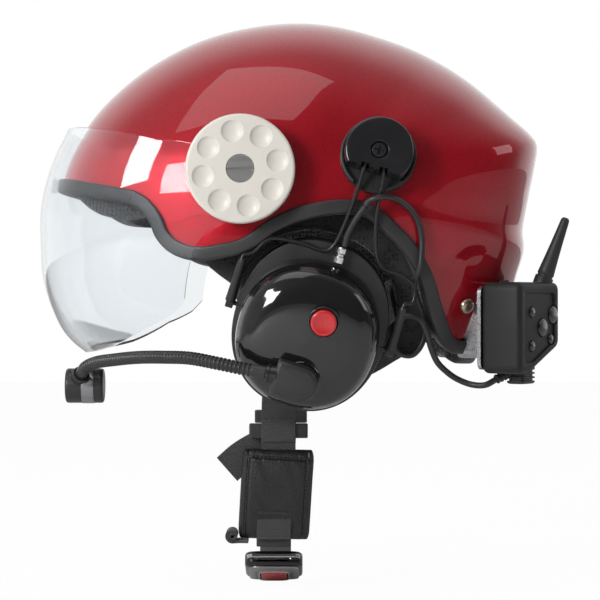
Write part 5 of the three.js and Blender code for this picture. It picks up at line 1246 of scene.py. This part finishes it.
# Boom: a black swivelling housing on the left cup, a turned ferrule, and a steel gooseneck in a ribbed
# black sleeve that is bent by hand. It ends in the microphone, a short barrel with a satin band.
def soft_slab(outline_at, near, far, edge, steps=5):
    """Rings of an outline given for any inset, from one x to another with quarter-round edges."""
    turn = np.linspace(0, np.pi / 2, steps)[::-1]
    low = [(near + edge * (1 - np.sin(t)), edge * (1 - np.cos(t))) for t in turn]
    rows = low + [(near + far - x, inset) for x, inset in low[::-1]]
    rings = [outline_at(inset) for _, inset in rows]
    return np.stack([np.column_stack([np.full(len(ring), x), ring]) for (x, _), ring in zip(rows, rings)])


def housing_outline(inset):
    """Side view of the housing: a half round about its pivot, and a block behind it with cut corners."""
    radius, turn = 9.4 - inset, np.radians(np.linspace(-90, 90, 33))
    y, z = boom_place
    half_round = np.column_stack([y + radius * np.cos(turn), z + radius * np.sin(turn)])
    end = y - 14.5 + inset
    tail = [
        (-3.0, z + radius), (end + 1, z + radius), (end, z - 1 + radius), (end, z + 1 - radius),
        (end + 1, z - radius), (-3.0, z - radius),
    ]
    return np.vstack([half_round, tail])


neck_mouth = in_frame(cup_frame, (33.3 + 5.3, boom_place[0] - 14.5 - 4.5, boom_place[1]))
neck_shares = np.array([
    (0, 0, 0), (-0.02, -0.115, 0.02), (-0.064, -0.243, 0.045), (-0.145, -0.373, 0.066),
    (-0.255, -0.506, 0.068),
    (-0.4, -0.644, 0.063), (-0.573, -0.786, 0.046), (-0.709, -0.888, 0.028), (-0.8, -0.95, 0),
    (-0.85, -0.976, -0.034),
])
neck_line = curve_through(neck_mouth + 110 * neck_shares, 900)
neck_share = np.linspace(0, 1, 900)
ribbed = (neck_share > 0.045) & (neck_share < 0.955)
ribs = np.where(ribbed, 0.5 - 0.5 * np.cos(neck_share * 2 * np.pi * 64), 0)
neck_radius = 3.65 - 0.6 * ribs ** 1.5
neck_black = moulded("neck_black", (0.012, 0.012, 0.013), (0.035, 0.035, 0.037), (0.28, 0.44), (900.0, 0.1))
neck_skin = tube(neck_line, neck_radius, 24, (0, 0, 1))
make_piece("boom_neck_ribbed", neck_skin, neck_black, "boom", "boom_gooseneck", sharp=80)
housing_skin = framed(cup_frame, closed(soft_slab(housing_outline, 33.3, 43.9, 2.4)))
mouth_way = unit(neck_line[1] - neck_line[0])
ferrule_line = neck_mouth + mouth_way * np.linspace(-6.9, -0.3, 30)[:, None]
ferrule_radius = np.full(30, 4.6)
ferrule_radius[[0, -1]] = 4.2
ferrule_radius[18:21] = 4.25
make_piece("boom_housing_nylon", housing_skin, black_nylon, "boom", "boom_housing", sharp=40)
make_piece("boom_ferrule", tube(ferrule_line, ferrule_radius, 40, (0, 0, 1)), gloss_nylon, "boom", sharp=40)
neck_end, end_way = neck_line[-1], unit(neck_line[-1] - neck_line[-2])
mic_middle, mic_drop = neck_end + end_way * 14, (0, 6.5, 0)
mic_profile = rounded([(0.02, -11), (10, -11), (10, 11), (0.02, 11)], (0, 1.8, 1.8, 0), 6)[1:-1]
mic_profile = np.vstack([[(0.02, -11)], mic_profile, [(0.02, 11)]])
mic_rows = turned_about_y(mic_profile, 72) + mic_middle + mic_drop
mic_foot = tube(np.linspace(neck_end + end_way * 0.3, mic_middle, 12), 4.9, 36, (0, 0, 1))
make_piece("mic_barrel", together(closed(mic_rows), mic_foot), black_nylon, "boom", "mic_head", sharp=40)
band_profile = rounded([(9.8, -1.5), (10.25, -1.5), (10.25, 5.5), (9.8, 5.5)], 0.2)
band_rows = turned_about_y(band_profile, 72) + mic_middle + mic_drop
satin_band = plated_metal("satin_band", (0.34, 0.34, 0.35), (0.3, 0.42))
make_piece("mic_band_satin", closed(band_rows, True), satin_band, "boom", sharp=40)


# Intercom: a matt dark grey case in two moulded halves with a cut lower corner. Its front has a recessed
# panel with five glossy rubber keys, and a flexible whip antenna stands in its top edge.
intercom_frame = [0.57358, 0.81915, 0, 0, -0.81915, 0.57358, 0, 0, 0, 0, 1, 0, 90, 121.8, -139.6, 1]


def case_outline(inset):
    """Rounded side view of the case, with one lower corner cut off."""
    w, h = 23 - inset, 25 - inset
    run, rise = 40 * w / 23, 15 * h / 25
    return rounded([(-w, h), (-w, -h), (w - run + 5, -h), (w, rise - h), (w, h)], 5 - min(inset, 2.5), 6)


case_rows = soft_slab(case_outline, -12, 12, 3, 6)
panel_rows = [
    np.column_stack([np.full(35, x), case_outline(inset)])
    for x, inset in ((12, 5.5), (11.8, 5.9), (10.8, 6.1))
]
case_grey = moulded(
    "case_grey", (0.012, 0.012, 0.0125), (0.024, 0.024, 0.025), (0.46, 0.6), (1500.0, 0.3),
    Specular_IOR_Level=0.3,
)
case = make_piece(
    "intercom_case", framed(intercom_frame, closed(np.concatenate([case_rows, panel_rows]))), case_grey,
    "intercom", "intercom_body", sharp=40,
)
keys = [
    ("answer", 4.6, 0.0, 5.0), ("menu", 16.56, 7.0, 5.0), ("up", -7.36, 8.5, 2.8),
    ("down", -7.36, -10.0, 2.8), ("pair", 13.8, -6.5, 2.8),
]
wells = [
    closed(turned_about_x([(0.02, 7.6), (r + 0.35, 7.6), (r + 0.35, 13), (0.02, 13)], 48, (y, z)))
    for _, y, z, r in keys
]
cut_by(case, *(framed(intercom_frame, well) for well in wells))
key_gloss = moulded(
    "key_gloss", (0.01, 0.01, 0.012), (0.03, 0.03, 0.034), (0.1, 0.2), (1200.0, 0.1), Coat_Weight=0.4,
)
for name, y, z, radius in keys:
    key_profile = [
        (0.02, 8.7), (radius, 8.7), (radius, 11.2), (radius - 0.2, 11.6), (radius - 0.7, 11.8), (0.02, 11.95),
    ]
    make_piece(
        f"key_{name}_gloss", framed(intercom_frame, closed(turned_about_x(key_profile, 48, (y, z)))),
        key_gloss, f"{name}_key", f"key_{name}", sharp=50,
    )

antenna_rubber = moulded(
    "antenna_rubber", (0.011, 0.011, 0.012), (0.028, 0.028, 0.03), (0.38, 0.54), (1300.0, 0.2),
)
antenna_foot = in_frame(intercom_frame, (5, 16, 25.3))
antenna_profile = np.array([
    (0.02, -3), (5.2, -3), (5.2, 2.6), (4.9, 3.0), (4.3, 3.2), (4.3, 4.0), (4.7, 4.4), (4.5, 7), (3.9, 14),
    (3.3, 22), (2.8, 30), (2.5, 35), (2.3, 36.8), (1.5, 37.8), (0.02, 38),
])
antenna_line = antenna_foot + antenna_profile[:, 1:] * (0, 0.34202, 0.93969)
make_piece(
    "antenna_whip", tube(antenna_line, antenna_profile[:, 0], 40, (1, 0, 0)), antenna_rubber, "intercom",
    "antenna", sharp=50,
)


# Clamp: a bright pressed plate and its block hold the intercom on the shell's rear edge, and a small
# grey spring latch in the plate's top edge locks it.
def keep_node(node, finish, bevel):
    """Gives a node of the model its own material and softened edges."""
    kept = paint(node, finish)
    kept.modifiers.new("join", "WELD").merge_threshold = 0.00001
    soften(kept, bevel / 1000, 3, False)


keep_node("clamp_bracket", plated_metal("clamp_silver", (0.6, 0.6, 0.62), (0.22, 0.36)), 0.5)
keep_node("clamp_latch", case_grey, 0.7)


# Intercom plug: a moulded rubber connector under the case with three finger grooves, and a ribbed
# sleeve that takes the lead in.
def plug_outline(inset):
    """Rounded rectangle across the plug."""
    x, y = 5.5 - inset, 7.5 - inset
    return rounded([(-x, y), (-x, -y), (x, -y), (x, y)], 2.4, 4)


groove_sides = ((-0.75, 0), (-0.55, 0.9), (0.55, 0.9), (0.75, 0))
grooves = [(z + dz, inset) for z in (-28.6, -26.25, -23.9) for dz, inset in groove_sides]
plug_levels = [(-31, 1.4), (-30.8, 0.7), (-30.3, 0.15), (-29.8, 0), *grooves, (-20, 0), (-15, 0)]
plug_rows = np.stack([np.column_stack([plug_outline(inset), np.full(20, z)]) for z, inset in plug_levels])
plug_middle, lead_end = in_frame(intercom_frame, (0, 0, -21.5)), lead_line[-1]
relief_share = np.linspace(0, 1, 80)
relief_line = lead_end + relief_share[:, None] * (plug_middle - lead_end)
relief_radius = 2.3 + 0.8 * relief_share + 0.3 * np.sign(np.sin(np.linspace(0, 14 * np.pi, 80)))
relief = tube(relief_line, relief_radius, 28, (0, 0, 1))
make_piece(
    "intercom_plug_rubber", together(framed(intercom_frame, closed(plug_rows)), relief), antenna_rubber,
    "intercom", "intercom_plug", sharp=40,
)


# Chin strap: 19 mm black nylon webbing. On each side a front leg and a rear leg come out of the rim
# padding and meet below the ear; the webbing goes on to the tongue on the left and the buckle on the right.
def woven_tape():
    """Nylon webbing: two slanting waves along its length give yarns that cross, and a noise its gloss. The
    grooves between the yarns are painted darker than the yarns, as painted shade.
    """
    made, shader, add = start_look("woven_tape")
    place = add("UVMap", uv_map="along").outputs["UV"]
    yarns = {}
    for k, angle in enumerate((32, -32)):
        slant = add("Mapping", {"Vector": place, "Rotation": (0, 0, np.radians(angle))}).outputs["Vector"]
        yarns[k] = add("TexWave", {"Vector": slant, "Scale": 0.32}).outputs["Fac"]
    height = add("Math", yarns, operation="MAXIMUM").outputs[0]
    fuzz = add("TexNoise", {"Vector": place, "Scale": 3.0}).outputs["Fac"]
    bump = add("Bump", {"Height": height, "Distance": 0.0004})
    # The low places between the yarns get the darker colour: painted shade in the grooves.
    tone = add("Mix", {
        "Factor": height, "A": (0.01, 0.01, 0.011, 1), "B": (0.06, 0.06, 0.063, 1),
    }, data_type="RGBA")
    rough = add("MapRange", {"Value": fuzz, "To Min": 0.5, "To Max": 0.72})
    fill(shader, {
        "Base Color": tone.outputs["Result"], "Roughness": rough.outputs["Result"],
        "Normal": bump.outputs["Normal"], "Sheen Weight": 0.25,
    })
    return made


webbing = woven_tape()
tape_section = rounded([(-0.85, -9.5), (0.85, -9.5), (0.85, 9.5), (-0.85, 9.5)], 0.5, 3)


def tape(line):
    """Webbing swept along a line, and its places across and along in millimetres."""
    far = np.concatenate([[0], np.cumsum(np.linalg.norm(np.diff(line, axis=0), axis=1))])
    across, along = np.meshgrid(tape_section[:, 1], far)
    return sweep(line, tape_section, (0, 1, 0)), np.stack([across, along], -1)


def inside_padding(share, standoff):
    """Two places on the padding's inner face at a share of the side rim, on it and 4 mm past it."""
    k = len(brow_rim) + int(round(share * (len(side_rim) - 1)))
    foot = rim[k] - rim_normal[k] * (25.3 + standoff)
    return np.stack([foot, foot + 4 * rim_out[k]])


hanging = np.array([(73, -12, z) for z in (-174, -186, -198, -210)], float)
front_leg = np.vstack([
    inside_padding(0.32, 0), [(79.6, -27.6, -112), (76.4, -22, -136), (73.9, -15, -159)], hanging,
])
rear_leg = np.vstack([
    inside_padding(0.84, 3), [(78, 62, -139), (75.6, 44, -153), (73.4, 22, -164), (73, -7, -173)],
])
to_tongue = np.array([(72.4, -12.8, -222), (69.6, -13.9, -240), (66.2, -14.7, -254), (63.8, -15, -263.4)])
to_buckle = np.array([
    (72.4, -12.8, -222), (69, -14, -240), (61, -14.9, -258), (46, -15, -273.6), (26, -15, -283.4),
    (8, -15, -287.4), (-4, -15, -287.8), (-14.4, -15, -284.6),
])
left_grid, left_uv = tape(curve_through(np.vstack([front_leg, to_tongue]), 240))
make_piece("strap_tape_left", closed(left_grid), webbing, "helmet", "strap_left", sharp=50, uv=left_uv)
right_grid, right_uv = tape(curve_through(np.vstack([front_leg, to_buckle]), 420))
strap_right = make_piece(
    "strap_tape_right", closed(right_grid * (-1, 1, 1)), webbing, None, "strap_right", sharp=50, uv=right_uv,
)
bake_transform(strap_right)
rear_grid, rear_uv = tape(curve_through(rear_leg, 160))
side_pair("strap_rear_tape", closed(rear_grid), webbing, "helmet", sharp=50, uv=rear_uv)

slider_middle = np.array([73, -12, -197.5])
slider_levels = ((3.4, 16.4, 1.2, -4), (3.4, 16.4, 1.2, 4), (1.4, 9.9, 0.5, 4), (1.4, 9.9, 0.5, -4))
slider_loop = np.stack([
    np.column_stack([rounded([(-x, -y), (x, -y), (x, y), (-x, y)], corner, 4), np.full(20, z)])
    for x, y, corner, z in slider_levels
]) + slider_middle
side_pair(
    "strap_slider_nylon", closed(slider_loop, True), black_nylon, "slider_{}", "strap_slider_{}", bevel=0.6,
)
wrap_bends = ((73.2, 5.4), (75.6, 4.9), (77.2, 3.4), (77.6, 0), (77.2, -3.4), (75.6, -4.9), (73.2, -5.4))
wrap_line = [(x, slider_middle[1], slider_middle[2] + z) for x, z in wrap_bends]
wrap_grid, wrap_uv = tape(curve_through(wrap_line, 50))
side_pair("strap_slider_wrap", closed(wrap_grid), webbing, "slider_{}", sharp=50, uv=wrap_uv)


# Chin pad: a soft leather sleeve over foam on the left strap, with a rolled border sewn down in dark
# thread. Near its lower end the webbing comes out of a bar-tacked slot and runs on over its outer face.
pad_line = curve_through(np.vstack([hanging[2:], to_tongue]), np.linspace(0.15, 0.925, 150))
pad_along = unit(np.gradient(pad_line, axis=0))
pad_thick = unit(np.cross((0.0, 1.0, 0.0), pad_along))
pad_thick *= np.sign(pad_thick[70, 0])
pad_across = unit(np.cross(pad_along, pad_thick))
pad_turn = np.linspace(0, 2 * np.pi, 128, endpoint=False)
pad_share = np.linspace(0, 1, 150)[:, None]


def pad_height(share, across):
    """Half thickness at a share of the length and a distance across: a cushion's fall to its edges, less
    a groove inside the border, plus slow creases."""
    edge = np.maximum(np.abs(across) / 20.4, np.abs(2 * share - 1) ** 1.5)
    fall = np.clip(1 - edge ** 7, 0.02, 1) ** 0.5
    groove = np.maximum(np.exp(-((np.abs(across) - 16.4) / 0.8) ** 2), np.exp(-((share - 0.09) / 0.014) ** 2))
    slot = np.exp(-((share - 0.69) / 0.03) ** 2) * np.clip(1.3 - np.abs(across) / 9, 0, 1)
    crease = np.sin(0.5 * across + 11 * share + 1.8 * np.sin(9 * share)) * np.sin(15 * share + 0.3 * across)
    return fall * (5.1 - 1.3 * groove - 0.9 * slot + 0.45 * crease * np.clip(1.1 - np.abs(across) / 16, 0, 1))


pad_wide = 20.0 * (1 - 0.08 * np.abs(2 * pad_share - 1) ** 14)
pad_b = pad_wide * signed_power(np.cos(pad_turn), 0.5)
pad_a = pad_height(pad_share, pad_b) * signed_power(np.sin(pad_turn), 0.35)
pad_grid = pad_line[:, None] + pad_a[..., None] * pad_thick[:, None] + pad_b[..., None] * pad_across[:, None]
chin_pad = make_piece("chin_pad_leather", closed(pad_grid), black_leather, "helmet", "chin_pad", sharp=80)


def on_pad(share, across, off=0.0):
    """Places on the pad's outer face at a share of its length, a distance across it and a height off it."""
    k = np.clip(share * 149, 0, 149).astype(int)
    high = pad_height(share, across) + off
    return pad_line[k] + high[:, None] * pad_thick[k] + across[:, None] * pad_across[k]


def stitches(starts, ends, radius):
    """Short rounded threads from starts to ends: six-sided rings at five stations, narrow at both tips."""
    side = unit(np.cross(ends - starts, (0.31, 0.57, 0.76)))
    third = unit(np.cross(ends - starts, side))
    station, size = np.array([0, 0.15, 0.5, 0.85, 1.0]), np.array([0.3, 0.9, 1, 0.9, 0.3]) * radius
    ring = circle(1, 6)
    middle = starts[:, None] + station[:, None] * (ends - starts)[:, None]
    around = ring[:, :1] * side[:, None, None] + ring[:, 1:] * third[:, None, None]
    points = middle[:, :, None] + size[:, None, None] * around
    caps = np.array([[5, 4, 3, 2], [5, 2, 1, 0], [24, 25, 26, 27], [24, 27, 28, 29]])
    quads = np.vstack([grid_faces(5, 6), caps])
    faces = np.arange(len(starts))[:, None, None] * 30 + quads[None]
    return points.reshape(-1, 3), faces.reshape(-1, 4).tolist()


marks, tack = np.linspace(0.1, 0.93, 24), np.linspace(-8.5, 8.5, 18)
cross_marks = np.linspace(-15, 14, 14)
rows = [
    (on_pad(marks, np.full(24, side), 0.15), on_pad(marks + 0.022, np.full(24, side), 0.15))
    for side in (-16.4, 16.4)
]
rows += [
    (on_pad(np.full(14, 0.09), cross_marks, 0.15), on_pad(np.full(14, 0.09), cross_marks + 1.3, 0.15)),
    (on_pad(np.full(18, 0.665), tack, 0.2), on_pad(np.full(18, 0.7), tack + 0.4, 0.2)),
]
dark_thread = moulded("dark_thread", (0.02, 0.02, 0.021), (0.09, 0.09, 0.09), (0.4, 0.6), (2500.0, 0.4))
starts, ends = (np.vstack([row[k] for row in rows]) for k in (0, 1))
make_piece("chin_pad_thread", stitches(starts, ends, 0.34), dark_thread, "helmet", sharp=80)

web_share = np.array([0.74, 0.78, 0.84, 0.9, 0.955])
web_lift = [-1.5, 0.2, 0.75, 0.8, 0.9]
web_line = np.vstack([
    on_pad(web_share, np.zeros(5), web_lift), to_tongue[-1:] + (1.6, 0, 5), to_tongue[-1:] + (1.1, 0, 1),
])
over_grid, over_uv = tape(curve_through(web_line, 60))
make_piece("chin_pad_web", closed(over_grid), webbing, "helmet", sharp=50, uv=over_uv)


# Loose webbing: the left strap's spare end comes forward from behind the pad's top, and the end that is
# left over at the buckle is rolled up and sewn.
spare_line = [(70.6, -16, -203), (69.4, -24, -207), (68.6, -33, -212.5), (68.8, -41, -219.5)]
spare_way = curve_through(spare_line, 60)
spare_grid = sweep(spare_way, tape_section * (0.8, 0.92), (0, 0.5, -0.87))
spare_far = np.linspace(0, 32, 60)
spare_uv = np.stack(np.meshgrid(tape_section[:, 1], spare_far), -1)
make_piece("strap_spare_end", closed(spare_grid), webbing, "helmet", sharp=50, uv=spare_uv)
roll_turn = np.linspace(0.6, 3.5 * np.pi, 150)
roll_radius = 0.7 + 0.26 * roll_turn
roll_line = np.stack([np.zeros(150), roll_radius * np.cos(roll_turn), roll_radius * np.sin(roll_turn)], -1)
roll_line = np.vstack([roll_line, [(0, 4.5, -3.3), (0, 9, -3.4)]]) + (64.5, -38, -256.5)
roll_section = rounded([(-0.75, -8), (0.75, -8), (0.75, 8), (-0.75, 8)], 0.3, 2)
roll_grid = sweep(roll_line, roll_section, (1.0, 0, 0))
roll_uv = np.stack(np.meshgrid(roll_section[:, 1], np.linspace(0, 60, len(roll_line))), -1)
make_piece("strap_rolled_end", closed(roll_grid), webbing, "helmet", sharp=50, uv=roll_uv)


# Buckle: the left strap ends in a plated tongue that clicks into a black body on the right strap. The
# body has a metal face plate with a red release in a bright rim on its outer side.
buckle_frame = [-0.95106, 0, -0.30902, 0, 0, -1, 0, 0, -0.30902, 0, 0.95106, 0, 62.2, -15, -268.6, 1]
keep_node("buckle_tongue", chrome, 0.35)


def block(half_x, half_y, corner, middle, near, far, edge):
    """Rounded block in the buckle's frame: x along it, y across it, z up through it."""
    def outline_at(inset):
        """Rounded rectangle, smaller all round by the inset."""
        x, y = half_x - inset, half_y - inset
        return rounded([(x, y), (-x, y), (-x, -y), (x, -y)], corner, 6) + (middle, 0)
    return closed(soft_slab(outline_at, near, far, edge, 4)[..., [1, 2, 0]])


buckle_body = make_piece(
    "buckle_body_nylon", framed(buckle_frame, block(20, 16.5, 6.5, 29.9, -3.6, 4.8, 1.8)), gloss_nylon,
    "buckle", "buckle_body", sharp=40,
)
release_room = block(12.4, 7.9, 5, 35.9, -12, -1.8, 0.1)
mouth = box_skin(3.9, 31.9, -8.5, 8.5, -1.5, 1.5)
cut_by(buckle_body, framed(buckle_frame, release_room), framed(buckle_frame, mouth))
satin_metal = plated_metal("satin_metal", (0.42, 0.42, 0.43), (0.26, 0.4))
face_plate = make_piece(
    "buckle_face_plate", framed(buckle_frame, block(18.6, 14.4, 6, 30.6, -4.8, -3.62, 0.5)), satin_metal,
    "buckle", sharp=40,
)
cut_by(face_plate, framed(buckle_frame, release_room))
release_red = moulded(
    "release_red", (0.5, 0.012, 0.015), (0.58, 0.02, 0.022), (0.26, 0.36), (900.0, 0.06), Coat_Weight=0.4,
)
make_piece(
    "buckle_release_red", framed(buckle_frame, block(12, 7.5, 4.8, 35.9, -5.6, -4.1, 0.7)), release_red,
    "release", "buckle_release", sharp=40,
)
rim_turns = rounded([(13.0, 8.5), (-13.0, 8.5), (-13.0, -8.5), (13.0, -8.5)], 5.4, 12) + (35.9, 0)
rim_line = np.column_stack([rim_turns, np.full(len(rim_turns), -4.95)])
rim_way = unit(np.roll(rim_line, -1, 0) - np.roll(rim_line, 1, 0))
up = np.array((0, 0, 1.0))
rim_side, rim_wire = np.cross(rim_way, up), circle(1, 16)
rim_grid = rim_line[:, None] + 0.55 * (rim_wire[:, :1] * rim_side[:, None] + rim_wire[:, 1:] * up)
make_piece("buckle_release_rim", framed(buckle_frame, closed(rim_grid, True)), chrome, "buckle", sharp=80)
